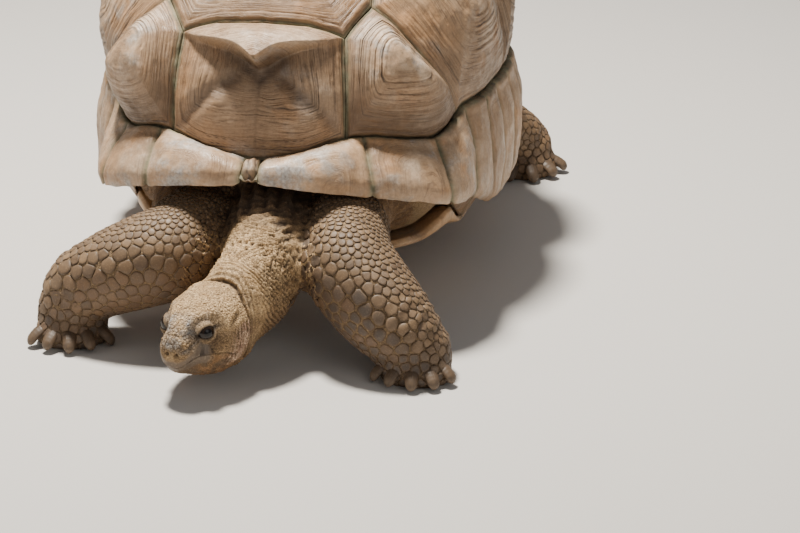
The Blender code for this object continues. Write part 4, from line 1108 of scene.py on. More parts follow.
def fine_plastron():
    phi = np.linspace(0, 2 * np.pi, 300, endpoint=False)
    rings = np.stack(plastron_rings(phi))
    at = np.concatenate([[0], np.cumsum(np.linalg.norm(np.diff(rings, axis=0), axis=-1).mean(axis=1))])
    fine = np.concatenate([np.linspace(0, at[2], 34)[:-1], np.linspace(at[2], at[6], 34)[:-1], np.linspace(at[6], at[-1], 6)])
    k = np.clip(np.searchsorted(at, fine, side="right") - 1, 0, len(at) - 2)
    f = ((fine - at[k]) / (at[k + 1] - at[k]))[:, None, None]
    pts = rings[k] * (1 - f) + rings[k + 1] * f
    inward = np.linspace(.06, .94, 16)[:, None, None]
    centre = pts[0].mean(axis=0)
    pts = np.concatenate([centre + (pts[0] - centre) * inward, pts])
    x, y, z = pts[..., 0], pts[..., 1], pts[..., 2]
    low = ramp(-(z - .100), -.02, .02)
    flat = pts.reshape(-1, 3)
    wob = fbm(flat, .05, 3, 51).reshape(x.shape)
    groove = bell(x - .010 * wob, .0026)
    for k, seam in enumerate((.215, .330, .470, .640, .770)):
        bend = (.04 if k % 2 else -.03) * np.abs(x) / .2
        groove = np.maximum(groove, bell(y - seam - bend - .012 * wob, .0026))
    groove = groove * low
    rings_ = ring_grooves(38 * np.abs(y - .45) + 16 * np.abs(x) + wob, 77)[0] * low * .5
    pts[..., 2] += .0016 * groove + .0005 * rings_ - .0003 * low * wob
    n = len(phi)
    rows = len(pts)
    points = np.concatenate([pts.reshape(-1, 3), [pts[0].mean(axis=0), pts[-1].mean(axis=0)]])
    faces = [tuple(q) for q in grid_faces(rows, n, True).tolist()]
    a, b = len(points) - 2, len(points) - 1
    faces += [(a, (i + 1) % n, i) for i in range(n)]
    last = (rows - 1) * n
    faces += [(b, last + i, last + (i + 1) % n) for i in range(n)]
    obj = mesh_object("plastron_horn", points, faces, MAT["horn_light"])
    flip_if_inside_out(obj)

    def full(v):
        return np.concatenate([(v + 0 * wob).ravel(), [0, 0]])

    put_attribute(obj, "edge", full(np.clip(groove, 0, 1)))
    put_attribute(obj, "line", full(rings_))
    put_attribute(obj, "wear_and_painted_sheen", full(ramp(wob, 0, .5) * .6))
    put_attribute(obj, "earth_and_painted_shade", full(x * 0 + .2 * ramp(wob, -.1, .4)))
    put_attribute(obj, "tone", full(x * 0 + .3))
    put_attribute(obj, "warm", full(x * 0 + .3))
    along = np.stack([y * 30, x * 0, x * 8], axis=-1)
    put_attribute(obj, "along", np.concatenate([along.reshape(-1, 3), np.zeros((2, 3))]))
    return show(obj, "horn_light", "plastron")


def build_shell():
    number = 1
    for name, corners, centre in VERTEBRALS:
        fine_plate(name, corners, centre, 1, True, number)
        number += 1
    for name, corners, centre in COSTALS:
        for side, sign in (("left", 1), ("right", -1)):
            fine_plate(name.replace("_", "_%s_" % side), corners, centre, sign, False, number)
            number += 1
    number = 1
    for side, sign in (("left", 1), ("right", -1)):
        for run, first, last in (("front", 0, 3), ("bridge", 3, 7), ("rear", 7, 11)):
            fine_marginals("marginals_%s_%s" % (side, run), MARGINAL_ENDS[first:last + 1], sign, 52, number)
            number += 1
    fine_marginals("nuchal", (-1.5, 1.5), 1, 34, 8, "nuchal")
    fine_marginals("supracaudal", (163.0, 197.0), 1, 90, 9, "supracaudal")
    fine_plastron()



# ---------------------------------------------------------------- skin
def ball(at, radius, around, high):
    """Points and quads of a round ball."""
    a = np.linspace(0, np.pi, high + 1)
    a[0], a[-1] = .02, np.pi - .02
    b = np.linspace(0, 2 * np.pi, around, endpoint=False)
    unit = np.stack([np.sin(a)[:, None] * np.cos(b), np.sin(a)[:, None] * np.sin(b), np.cos(a)[:, None] + 0 * b], axis=-1)
    return ring_form(np.array(at) + radius * unit)


def swept_balls(rows, count, inset=.0):
    return [ball((x, y, z), r - inset, 24, 12) for x, y, z, r in smooth_path(rows, count)]


def ring_form(rings):
    """A closed form of rings of points, with a point at the middle of each end."""
    rings = np.asarray(rings, float)
    rows, cols = rings.shape[:2]
    points = np.concatenate([rings.reshape(-1, 3), rings[0].mean(axis=0)[None], rings[-1].mean(axis=0)[None]])
    j = np.arange(cols)
    k = (j + 1) % cols
    ends = np.concatenate([np.stack([k, j, 0 * j + rows * cols], axis=1), np.stack([j, k, 0 * j + rows * cols + 1], axis=1) + [(rows - 1) * cols, (rows - 1) * cols, 0]])
    return points, grid_faces(rows, cols, True), ends


def foot_balls(key, inset):
    x, y, radius, height, middle, spread, toes, toe_r, reach = FEET[key]
    out = [ball((x, y, z), radius * (1.0 if z < height else .98) - inset, 28, 14) for z in (0.0, height * .5, height)]
    for dx, dy in toe_directions(middle, spread, toes):
        for k in (.55, .7, .85, 1.0):
            out.append(ball((x + dx * reach * k, y + dy * reach * k, toe_r * (.95 + .25 * (1 - k))), toe_r - inset * .5, 18, 10))
    return out


LIMBS = {"front_right": ARM_RIGHT, "front_left": ARM_LEFT, "hind_right": LEG_RIGHT, "hind_left": LEG_LEFT}
COAT = .0026      # the scales' depth: the skin lies this far inside the solids of the legs


def one_form(pieces, voxel, smooth):
    """One closed form made of overlapping pieces."""
    points, faces, base = [], [], 0
    for pts, quads, tris in pieces:
        points.append(pts)
        faces += (quads + base).tolist() + (tris + base).tolist()
        base += len(pts)
    mesh = bpy.data.meshes.new("form")
    mesh.from_pydata(np.concatenate(points).tolist(), [], faces)
    obj = bpy.data.objects.new("form", mesh)
    scene.collection.objects.link(obj)
    m = obj.modifiers.new("one", "REMESH")
    m.mode, m.voxel_size = "VOXEL", voxel
    m = obj.modifiers.new("soft", "SMOOTH")
    m.factor, m.iterations = .5, smooth
    return evaluated(obj)


def neighbours_mean(co, edges, times, weight):
    """Smooths points along the mesh's edges, each by its own weight."""
    n = len(co)
    count = np.bincount(edges.ravel(), minlength=n).astype(float)[:, None]
    for _ in range(times):
        total = np.zeros_like(co)
        for k in range(3):
            total[:, k] = np.bincount(edges[:, 0], weights=co[edges[:, 1], k], minlength=n) \
                + np.bincount(edges[:, 1], weights=co[edges[:, 0], k], minlength=n)
        co = co + weight[:, None] * .5 * (total / np.maximum(count, 1) - co)
    return co


def edge_array(obj):
    e = np.empty(len(obj.data.edges) * 2, np.int32)
    obj.data.edges.foreach_get("vertices", e)
    return e.reshape(-1, 2)


def head_coords(p):
    o, f, left, up = head_frame()
    q = p - o
    return np.stack([q @ f, q @ left, q @ up], axis=-1)


def subdivide_where(obj, chosen):
    """Splits every face whose corners are all chosen."""
    bm = bmesh.new()
    bm.from_mesh(obj.data)
    bm.verts.ensure_lookup_table()
    edges = [e for e in bm.edges if chosen[e.verts[0].index] and chosen[e.verts[1].index]]
    bmesh.ops.subdivide_edges(bm, edges=edges, cuts=1, use_grid_fill=True)
    bm.to_mesh(obj.data)
    bm.free()


def path_coordinates(p, rows, count=60):
    """For each point: how far along the path (metres), the angle round it, and its distance from it."""
    path = smooth_path(rows, count)[:, :3]
    radius = smooth_path(rows, count)[:, 3]
    seg = path[1:] - path[:-1]
    long = np.linalg.norm(seg, axis=1)
    at = np.concatenate([[0], np.cumsum(long)])
    best = np.full(len(p), 1e9)
    along = np.zeros(len(p))
    around = np.zeros(len(p))
    local = np.zeros(len(p))
    # a frame that turns as little as possible along the path
    tangent = seg / long[:, None]
    side = np.cross(tangent[0], [0, 0, 1.0])
    side /= np.linalg.norm(side)
    sides = []
    for t in tangent:
        side = side - t * (side @ t)
        side /= np.linalg.norm(side)
        sides.append(side.copy())
    for k in range(len(seg)):
        rel = p - path[k]
        f = np.clip(rel @ tangent[k] / long[k], 0, 1)
        off = rel - f[:, None] * seg[k]
        d = np.einsum("ij,ij->i", off, off)
        near = d < best
        best[near] = d[near]
        along[near] = at[k] + f[near] * long[k]
        other = np.cross(tangent[k], sides[k])
        around[near] = np.arctan2(off[near] @ other, off[near] @ sides[k])
        local[near] = radius[k]
    return along, around, np.sqrt(best), local, at[-1]


EYE_AXIS = np.array([.50, .81, .29]) / np.linalg.norm([.50, .81, .29])
EYE_LONG = np.array([.878, -.394, -.200])
EYE_LONG = EYE_LONG - EYE_AXIS * (EYE_LONG @ EYE_AXIS)
EYE_LONG /= np.linalg.norm(EYE_LONG)
EYE_TALL = np.cross(EYE_AXIS, EYE_LONG)
EYE_TALL *= np.sign(EYE_TALL[2])
OPEN_LONG, OPEN_TALL = .0129, .0080      # half sizes of the opening between the lids
MOUTH_LINE = ((.050, -.0375), (.0619, -.0350), (.074, -.0300), (.0993, -.0222), (.1187, -.0200), (.1313, -.0272), (.137, -.0345), (.150, -.0370))


def sculpt_head(h, n_h, weight):
    """Moves of the head's skin. h: points (s, x, z); n_h: normals in the same axes. Gives the moved points and masks."""
    s, x, z = h.T
    ax = np.abs(x)
    m = np.stack([s, ax, z], axis=1)
    sign = np.where(x < 0, -1.0, 1.0)
    seed_at = h + [0, 0, 0]
    big = fbm(seed_at, .030, 3, 61)
    mid = fbm(seed_at, .012, 3, 62)
    small = fbm(seed_at, .0048, 2, 63)
    lift = .0012 * big + .0005 * mid
    fold = np.zeros(len(h))
    masks = {}
    top = ramp(z, .004, .024) * ramp(s, .0, .02)

    # crown: large low plates with fine granules
    border, who = cells(h + .0012 * np.stack([mid, small, big], 1), .0105, 71)
    grain, _ = cells(h, .0030, 72)
    crown = ramp(z - .10 * (s - .05), .012, .030) * (1 - ramp(s, .118, .132))
    lift += crown * (-.00085 * bell(border, .11) + .00055 * np.clip(grain, 0, .6) + .0006 * mid)
    fold += crown * (.42 * bell(border, .085) + .22 * bell(grain, .12))

    # snout: plates with grooves, a ridge down the middle, nostrils
    snout = ramp(s, .108, .128) * ramp(z, -.018, -.006)
    border2, _ = cells(h, .0085, 73)
    lift += snout * (-.0010 * bell(border2, .11) + .0004 * np.clip(grain, 0, .6))
    fold += snout * .6 * bell(border2, .085)
    lift += .0010 * bell(x, .0028) * ramp(s, .118, .132) * ramp(z, -.016, -.004)
    nostril = np.hypot((ax - .0074) / .0030, (z + .0150) / .0026)
    front = ramp(s, .126, .133)
    lift += front * (-.0052 * np.exp(-(nostril ** 2)) + .0010 * bell(nostril - 1.6, .45))
    fold += front * 1.0 * np.exp(-(nostril / .95) ** 4)

    # ridge and groove from the nose to the front corner of the eye
    a, b = np.array([.1363, .0124, -.0088]), np.array([.1150, .0300, .0080])
    ab = b - a
    k = np.clip(((m - a) @ ab) / (ab @ ab), 0, 1)
    away = m - a - k[:, None] * ab
    d = away[:, 2] * .93 + np.linalg.norm(away, axis=1) * 0
    near = .55 * np.exp(-(np.linalg.norm(away, axis=1) / .0075) ** 2) * (1 - ramp(k, .55, .95))
    lift += near * (.0014 * bell(d - .0008, .0016) - .0013 * bell(d + .0022, .0012) + .0009 * bell(d + .0046, .0013) - .0008 * bell(d + .0068, .0010))
    fold += near * (.75 * bell(d + .0022, .0010) + .55 * bell(d + .0068, .0009))

    # mouth: the upper beak hooks down in front and overlaps the lower jaw
    ms, mz = np.array(MOUTH_LINE).T
    line = through(ms, mz, np.clip(s, ms[0], ms[-1]))
    dz = z - line
    reach = ramp(s, .0585, .068)
    lift += reach * (.0009 * ramp(dz, .0, .0022) * (1 - ramp(dz, .008, .016)) - .0031 * bell(dz + .0009, .0011)
                     - .0012 * ramp(-dz, .0, .002) * (1 - ramp(-dz, .012, .024)))
    fold += reach * 1.0 * bell(dz + .0009, .0012)
    corner = np.hypot((s - .0605) / 1.0, (z + .0355) / 1.0)
    lift += -.0016 * bell(corner, .004) + .0010 * bell(corner - .0075, .0028)
    fold += .6 * bell(corner, .0035)
    horn_up = ramp(s, .090, .112) * ramp(dz, -.0004, .0004) * (1 - ramp(dz - .009 * ramp(s, .085, .13) - .0012 * mid, -.004, .005))
    horn_low = ramp(s, .094, .110) * ramp(-dz, -.0004, .0004) * (1 - ramp(-dz, .011, .018))
    horn = np.clip(horn_up + horn_low, 0, 1)
    lift += horn * (-.00028 * mid)
    lift += .0010 * bell(dz - .0012, .0010) * ramp(s, .085, .10)

    # ear: a shallow oval drum with a rim
    es, ez = s - .0475, z - .0142
    ear = np.hypot((es * .966 - ez * .256) / .0125, (es * .256 + ez * .966 + .0012 * mid) / .0050)
    side_on = ramp(ax, .030, .042)
    lift += side_on * (-.0026 * np.exp(-ear ** 3) + .0009 * bell(ear - 1.5, .35) * ramp(big, -.4, .4))
    fold += side_on * (.80 * np.exp(-ear ** 3) * (.6 + .4 * ramp(mid, -.4, .3)))

    # cheek folds between the mouth's corner and the ear, running down and forward
    t = (s - .0455) + .36 * (z + .012) + .0022 * big
    wave = np.sin(2 * np.pi * t / .0062 + 1.6 * big)
    zone = np.exp(-((s - .044 + .40 * (z + .012)) / .017) ** 2) * ramp(-z, -.008, .006) * (1 - ramp(-z, .044, .058)) * ramp(ax, .030, .042)
    lift += zone * (.0024 * wave + .0009 * mid)
    fold += zone * .95 * ramp(-wave, .15, .90)
    masks["pink"] = np.clip(zone * 1.7 * ramp(wave, -.55, .35), 0, 1)

    # fine wrinkles under and behind the eye, and along the throat
    t2 = z + .35 * s + .0012 * mid
    w2 = np.sin(2 * np.pi * t2 / .0042 + 2.5 * big)
    zone2 = np.exp(-((s - .082) / .020) ** 2) * np.exp(-((z + .009) / .010) ** 2) * ramp(ax, .026, .038)
    lift += zone2 * .0009 * w2
    fold += zone2 * .50 * ramp(-w2, .3, 1)
    w3 = np.sin(2 * np.pi * (ax + .0016 * big) / .0052 + 1.2 * mid)
    throat = ramp(-z, .040, .056) * (1 - ramp(s, .100, .125))
    lift += throat * (.0008 * w3 + .0008 * mid)
    fold += throat * .55 * ramp(-w3, .2, .95)

    # crease where the crown's hood meets the neck
    hood = s - (.0185 + .35 * np.clip(ax - .030, 0, .03) + .12 * np.clip(-z, 0, .06)) + .0012 * big
    lift += -.0046 * bell(hood + .0015, .0024) + .0022 * bell(hood - .0042, .0036)
    fold += 1.15 * bell(hood + .0015, .0022)
    for k, off in enumerate((.0085, .0150, .0215)):
        lift += (-.0012 + .0003 * k) * bell(hood + off, .0014) + .0007 * bell(hood + off - .0028, .0018)
        fold += (.60 - .12 * k) * bell(hood + off, .0014)

    # jaw muscle bulge and temple
    lift += .0028 * np.exp(-((s - .040) / .022) ** 2 - ((z + .012) / .024) ** 2) * ramp(ax, .025, .045)
    lift += .0010 * np.exp(-((s - .070) / .020) ** 2 - ((z - .026) / .012) ** 2) * ramp(ax, .022, .034)

    moved = h + n_h * (lift * weight)[:, None]

    # eyes: lids wrapped round the ball
    for side in (1.0, -1.0):
        c = np.array([EYE[0], EYE[1] * side, EYE[2]])
        axis, long, tall = (v * [1, side, 1] for v in (EYE_AXIS, EYE_LONG, EYE_TALL))
        rel = moved - c
        dist = np.linalg.norm(rel, axis=1)
        close = dist < .034
        q = rel[close] / dist[close][:, None]
        u, v, w = q @ long, q @ tall, q @ axis
        facing = w > .10
        a_u, a_v = OPEN_LONG / EYE_RADIUS, OPEN_TALL / EYE_RADIUS
        # an almond: pointed at both ends
        mm = np.hypot(u / a_u, v / (a_v * np.clip(1 - .30 * np.clip(np.abs(u) / a_u, 0, 1) ** 2.4, .3, 1)))
        mm = np.where(facing, mm, 9)
        old = dist[close]
        wr = fbm(moved[close], .0060, 2, 81)
        ang = np.arctan2(v / a_v, u / a_u)
        folds = .0013 * bell(mm - 1.30, .20) - .0011 * bell(mm - 1.66, .09) + .0011 * bell(mm - 1.92, .15) - .0010 * bell(mm - 2.22, .08) \
            + .0007 * bell(mm - 2.46, .14) + .0010 * wr * ramp(mm, 1.05, 1.3)
        folds *= np.where(v > 0, .25, .85)
        blend_out = ramp(mm, 1.25, 2.5)
        lid = EYE_RADIUS + .0008 + .0007 * ramp(mm, 1.0, 1.3) + np.clip(mm - 1.2, 0, 3) * .0006
        # the skin leaves the ball's sphere towards the old surface
        new = lid * (1 - blend_out) + old * blend_out
        new = np.maximum(new, np.where(mm > 1.02, EYE_RADIUS + .0009, 0))
        new = new + folds * (1 - ramp(mm, 2.3, 3.4))
        inside = 1 - ramp(mm, .93, 1.04)
        new = new * (1 - inside) + (EYE_RADIUS - .0022) * inside
        new = np.where(mm < 8, new, old)
        part = moved[close]
        part = c + q * (old + (new - old) * weight[close])[:, None]
        moved[close] = part
        f = fold[close]
        f = np.maximum(f * np.where(mm < 3, ramp(mm, 1.6, 3.0), 1), 0)
        f = f + .9 * bell(mm - 1.02, .10) + .75 * bell(mm - 1.66, .08) + .60 * bell(mm - 2.22, .07) + .95 * inside * (mm < 8)
        fold[close] = f
        masks.setdefault("dark", np.zeros(len(h)))
        dk = masks["dark"][close]
        # darker lids and eye corners: partly the lids' own colour, partly painted shade
        dk = np.maximum(dk, (.55 - .20 * ramp(mm, 1.15, 1.7)) * (1 - ramp(mm, 1.75, 2.5)) * (mm < 8))
        dk = np.maximum(dk, .85 * np.exp(-(np.hypot((u + np.where(u > 0, -1, 1) * a_u * 1.0) / .22, v / .20)) ** 2) + .55 * bell(mm - 1.08, .13))
        masks["dark"][close] = np.clip(dk, 0, 1)
    inside_mouth = reach * bell(dz + .0009, .0011)
    masks["fold"] = np.clip(fold, 0, 1) * weight
    patch = fbm(h, .020, 3, 91)
    masks["blue"] = np.clip(snout * .95 * ramp(patch, -.35, .25) + .75 * np.exp(-((s - .112) / .016) ** 2 - ((z - .026) / .010) ** 2) * ramp(patch, -.2, .35)
                            + .65 * np.exp(-((s - .086) / .013) ** 2 - ((ax - .036) / .010) ** 2 - ((z - .027) / .008) ** 2) * ramp(patch, -.5, .2), 0, 1) * weight
    masks["beak"] = np.clip(horn * 1.35, 0, 1) * weight
    patchy = fbm(h, .009, 3, 93)
    masks["warm"] = np.clip((ramp(-dz, .001, .007) * ramp(s, .04, .07) * .85 * ramp(patchy, -.5, .2) + throat * .35 + np.exp(-((s - .093) / .014) ** 2 - ((z + .014) / .007) ** 2) * .55), 0, 1) * weight
    masks["pink"] = np.clip(masks["pink"] + .35 * np.exp(-((s - .078) / .012) ** 2 - ((z + .004) / .008) ** 2) * ramp(mid, -.1, .3), 0, 1) * weight
    masks["dark"] = np.clip(masks["dark"] * weight + .68 * weight * ramp(-dz, .001, .007) * ramp(s, .045, .075) * ramp(-patchy, -.3, .3) + .62 * weight * ramp(s, .106, .122) * ramp(-dz, -.013, -.002) * ramp(patchy, -.35, .25), 0, 1)
    # paler towards the top of the head: dust, and painted light from above
    masks["pale"] = np.clip(crown * 1.0 + .75 * ramp(z, -.006, .010) + .25, 0, 1) * weight * (1 - ramp(-z, .028, .044))
    return moved, masks



def build_skin():
    """One skin from the snout to the tail: smooth forms, then folds moved into it."""
    phi = np.linspace(0, 2 * np.pi, 96, endpoint=False)
    forms = [ring_form(trunk_rings(phi, False))] + swept_balls(NECK, 34, .0006) + swept_balls(THROAT, 22, .0006)
    forms += [ring_form(head_sections(40, 64))] + swept_balls(TAIL, 26, .0008)
    for key, rows in LIMBS.items():
        forms += swept_balls(rows, 40, COAT) + foot_balls(key, .0012)
    obj = one_form(forms, .0062, 6)
    print("STAGE form", len(obj.data.vertices))
    obj.name = obj.data.name = "tortoise_skin"

    # thin out what the shell hides, refine the head, the neck and the bare skin of the limbs
    co = coords(obj)
    x, y, z = co.T
    phi = np.arctan2(x, SHELL_AXIS_Y - y)
    h = np.hypot(x, SHELL_AXIS_Y - y)
    ru = rim_sizes(phi)[6]
    hidden = h < ru - .062
    bm = bmesh.new()
    bm.from_mesh(obj.data)
    bm.verts.ensure_lookup_table()
    verts = [v for v in bm.verts if hidden[v.index]]
    edges = [e for e in bm.edges if hidden[e.verts[0].index] and hidden[e.verts[1].index]]
    bmesh.ops.dissolve_limit(bm, angle_limit=math.radians(9), verts=verts, edges=edges, use_dissolve_boundaries=False)
    bmesh.ops.triangulate(bm, faces=[f for f in bm.faces if len(f.verts) > 4])
    bm.to_mesh(obj.data)
    bm.free()

    co = coords(obj)
    print("STAGE thin", len(co))
    hc = head_coords(co)
    subdivide_where(obj, (hc[:, 0] > -.075) & (np.abs(hc[:, 1]) < .10) & (hc[:, 2] > -.11))
    hc = head_coords(coords(obj))
    subdivide_where(obj, (hc[:, 0] > -.012) & (np.abs(hc[:, 1]) < .066))
    hc = head_coords(coords(obj))
    near = np.zeros(len(hc), bool)
    for side in (1, -1):
        near |= np.linalg.norm(hc - [EYE[0], EYE[1] * side, EYE[2]], axis=1) < .024
    subdivide_where(obj, near)

    # back to the smooth form where the grid shows
    co = coords(obj)
    print("STAGE fine", len(co))
    hc = head_coords(co)
    edges = edge_array(obj)
    is_head = ramp(hc[:, 0], -.012, .012) * ramp(.075 - np.abs(hc[:, 1]), 0, .012)
    co = neighbours_mean(co, edges, 14, .25 + .75 * is_head)
    rings = np.array(head_sections(70, 120))
    verts = [tuple(p) for p in rings.reshape(-1, 3)] + [tuple(rings[0].mean(axis=0)), tuple(rings[-1].mean(axis=0))]
    faces = [tuple(q) for q in grid_faces(70, 120, True).tolist()]
    faces += [(len(verts) - 1, 69 * 120 + i, 69 * 120 + (i + 1) % 120) for i in range(120)]
    tree = BVHTree.FromPolygons(verts, faces)
    hc = head_coords(co)
    pull = ramp(hc[:, 0], .000, .030)
    for i in np.flatnonzero((hc[:, 0] > .0) & (pull > 0)):
        hit = tree.find_nearest(Vector(co[i]), .02)
        if hit[0] is not None:
            co[i] += (np.array(hit[0]) - co[i]) * pull[i]
    co = neighbours_mean(co, edges, 3, is_head)
    set_coords(obj, co)

    # the head
    n = normals(obj)
    o, f, left, up = head_frame()
    hc = head_coords(co)
    nh = np.stack([n @ f, n @ left, n @ up], axis=1)
    zone = ramp(hc[:, 0], -.020, .004) * ramp(.080 - np.abs(hc[:, 1]), 0, .012)
    chosen = zone > 0
    moved, masks = sculpt_head(hc[chosen], nh[chosen], zone[chosen])
    new = co.copy()
    new[chosen] = o + moved[:, :1] * f + moved[:, 1:2] * left + moved[:, 2:] * up
    total = {k: np.zeros(len(co)) for k in ("fold", "pale", "warm", "blue", "pink", "beak", "dark")}
    for key, value in masks.items():
        total[key][chosen] = value

    # the neck: rings of fine folds, broad creases at its root, a painted shadow of the rim over its root and painted
    # light on its upper side
    along, around, dist, local, whole = path_coordinates(co, NECK)
    rest = co[:, 2] * 0 + 1
    neck = ramp(along, .004, .02) * (1 - zone) * (dist < local * 1.75) * (co[:, 1] < .135) * (np.abs(co[:, 0]) < .11)
    big = fbm(co, .045, 3, 101)
    mid = fbm(co, .014, 3, 102)
    path_s = along + .011 * np.cos(around - 1.2) + .0045 * big
    rate = .0085 - .0030 * ramp(along, .08, .20)
    wave = np.sin(2 * np.pi * path_s / rate + 2.0 * big + .8 * mid)
    gap = ramp(-wave, .35, .98)
    ring_zone = neck * ramp(along, .055, .095)
    new += n * ((.0019 * wave - .0020 * gap + .0009 * mid) * ring_zone)[:, None]
    base_zone = neck * (1 - ramp(along, .082, .132))
    up_folds = np.sin(around * 14 + 3.2 * big + 1.2 * mid)
    cross, _ = cells(co * [1, 1, .8] + .003 * np.stack([mid, big, mid], 1), .0115, 103)
    new += n * ((.0034 * up_folds - .0026 * bell(cross, .15) + .0014 * mid) * base_zone)[:, None]
    total["fold"] += ring_zone * (.98 * gap + .18 * ramp(-mid, .2, .6)) + base_zone * (.85 * bell(cross, .13) + .85 * ramp(-up_folds, .30, .95))
    # painted light and shade by the way the neck faces: paler where it faces up
    lit = ramp(n[:, 2] * .5 + n[:, 1] * -.1, -.35, .25)
    total["pale"] += neck * (.10 + .85 * lit) * ramp(along, .105, .165)
    # warmer and darker on its shaded side and at its root: painted shade, and the rim's painted shadow
    total["warm"] += neck * (.80 * (1 - lit) + .75 * base_zone)
    total["dark"] += .92 * base_zone * (.7 + .3 * ramp(mid, -.3, .3)) + .50 * neck * (1 - lit)

    # limbs: creases where they bend, wrinkles towards the body
    for key, rows in LIMBS.items():
        along, around, dist, local, whole = path_coordinates(co, rows)
        side = -1 if "right" in key else 1
        mine = (dist < local * 1.45) & (co[:, 0] * side > .02) & (neck < .05) & (zone <= 0)
        mine &= (co[:, 1] < .30) if key.startswith("front") else (co[:, 1] > .62)
        upper = mine * (1 - ramp(along / whole, .30, .50))
        low = mine * ramp(along / whole, .78, .92)
        w = np.sin(2 * np.pi * (along + .004 * big) / .017 + 2.4 * big + mid)
        net, _ = cells(co + .004 * np.stack([mid, big, mid], 1), .0125, 107)
        new += n * (upper * (.0017 * w - .0017 * bell(net, .12) + .0012 * mid) + low * (.0012 * w - .0010 * bell(net, .12)))[:, None]
        total["fold"] += upper * (.55 * ramp(-w, .5, 1) + .50 * bell(net, .10)) + low * .5 * bell(net, .10)
        total["warm"] += .70 * upper
        # painted shade: the limbs darker all over, more so towards the floor
        total["dark"] += .30 * mine + .40 * mine * ramp(.080 - co[:, 2], 0, .05)

    # tail and the loose skin under the rim
    along, around, dist, local, whole = path_coordinates(co, TAIL)
    mine = (dist < local * 1.5) & (co[:, 1] > .86)
    rows_, _ = cells(co, .0075, 109)
    new += n * (mine * (-.0010 * bell(rows_, .12) + .0005 * mid))[:, None]
    total["fold"] += mine * .7 * bell(rows_, .10)
    web = (1 - np.clip(neck + zone, 0, 1)) * (h_of(co) < 9)
    set_coords(obj, new)
    floor = coords(obj)
    # flat soles
    floor[:, 2] = np.where(floor[:, 2] < .0012, np.maximum(floor[:, 2], .0), floor[:, 2])
    set_coords(obj, floor)
    for key in total:
        put_attribute(obj, key, np.clip(total[key], 0, 1))
    final = coords(obj) - SHIFT
    set_coords(obj, final)
    obj.data.shade_smooth()
    obj.data.materials.clear()
    obj.data.materials.append(MAT["skin"])
    tris = sum(len(p.vertices) - 2 for p in obj.data.polygons)
    print("SKIN", len(obj.data.vertices), tris)
    return show(obj, "skin", "trunk", "neck", "head", "lower_jaw", "tail", *["leg_" + k for k in LIMBS], *["foot_" + k for k in LIMBS])


def h_of(p):
    return np.hypot(p[:, 0], SHELL_AXIS_Y - p[:, 1])



# ---------------------------------------------------------------- eyes and claws
def build_eyes():
    o, f, left, up = head_frame()
    for name, side in (("eye_left", 1.0), ("eye_right", -1.0)):
        axis = EYE_AXIS * [1, side, 1]
        long = EYE_LONG * [1, side, 1]
        tall = np.cross(axis, long)
        rows, cols = 48, 64
        a = np.linspace(0, np.pi, rows)
        b = np.linspace(0, 2 * np.pi, cols, endpoint=False)
        points, iris = [], []
        centre = np.array([EYE[0], EYE[1] * side, EYE[2]])
        for i, v in enumerate(a[1:-1]):
            # the clear front bulges a little over the round ball
            radius = EYE_RADIUS * (1 + .035 * math.exp(-(v / .62) ** 4)) - .0002
            ring = centre + radius * (math.cos(v) * axis + math.sin(v) * (np.cos(b)[:, None] * long + np.sin(b)[:, None] * tall))
            points.append(ring)
            iris.append(np.full(cols, min(v / .98, 1.0)))
        pts = np.concatenate(points + [[centre + axis * EYE_RADIUS * 1.034], [centre - axis * (EYE_RADIUS - .0002)]])
        iris = np.concatenate(iris + [[0.0], [1.0]])
        faces = [tuple(q) for q in grid_faces(rows - 2, cols, True).tolist()]
        first, last = len(pts) - 2, len(pts) - 1
        faces += [(first, (i + 1) % cols, i) for i in range(cols)]
        end = (rows - 3) * cols
        faces += [(last, end + i, end + (i + 1) % cols) for i in range(cols)]
        world = o + pts[:, :1] * f + pts[:, 1:2] * left + pts[:, 2:] * up
        obj = mesh_object("wet_" + name, world, faces, MAT["eye"])
        flip_if_inside_out(obj)
        put_attribute(obj, "iris", iris)
        show(obj, "eye", name)


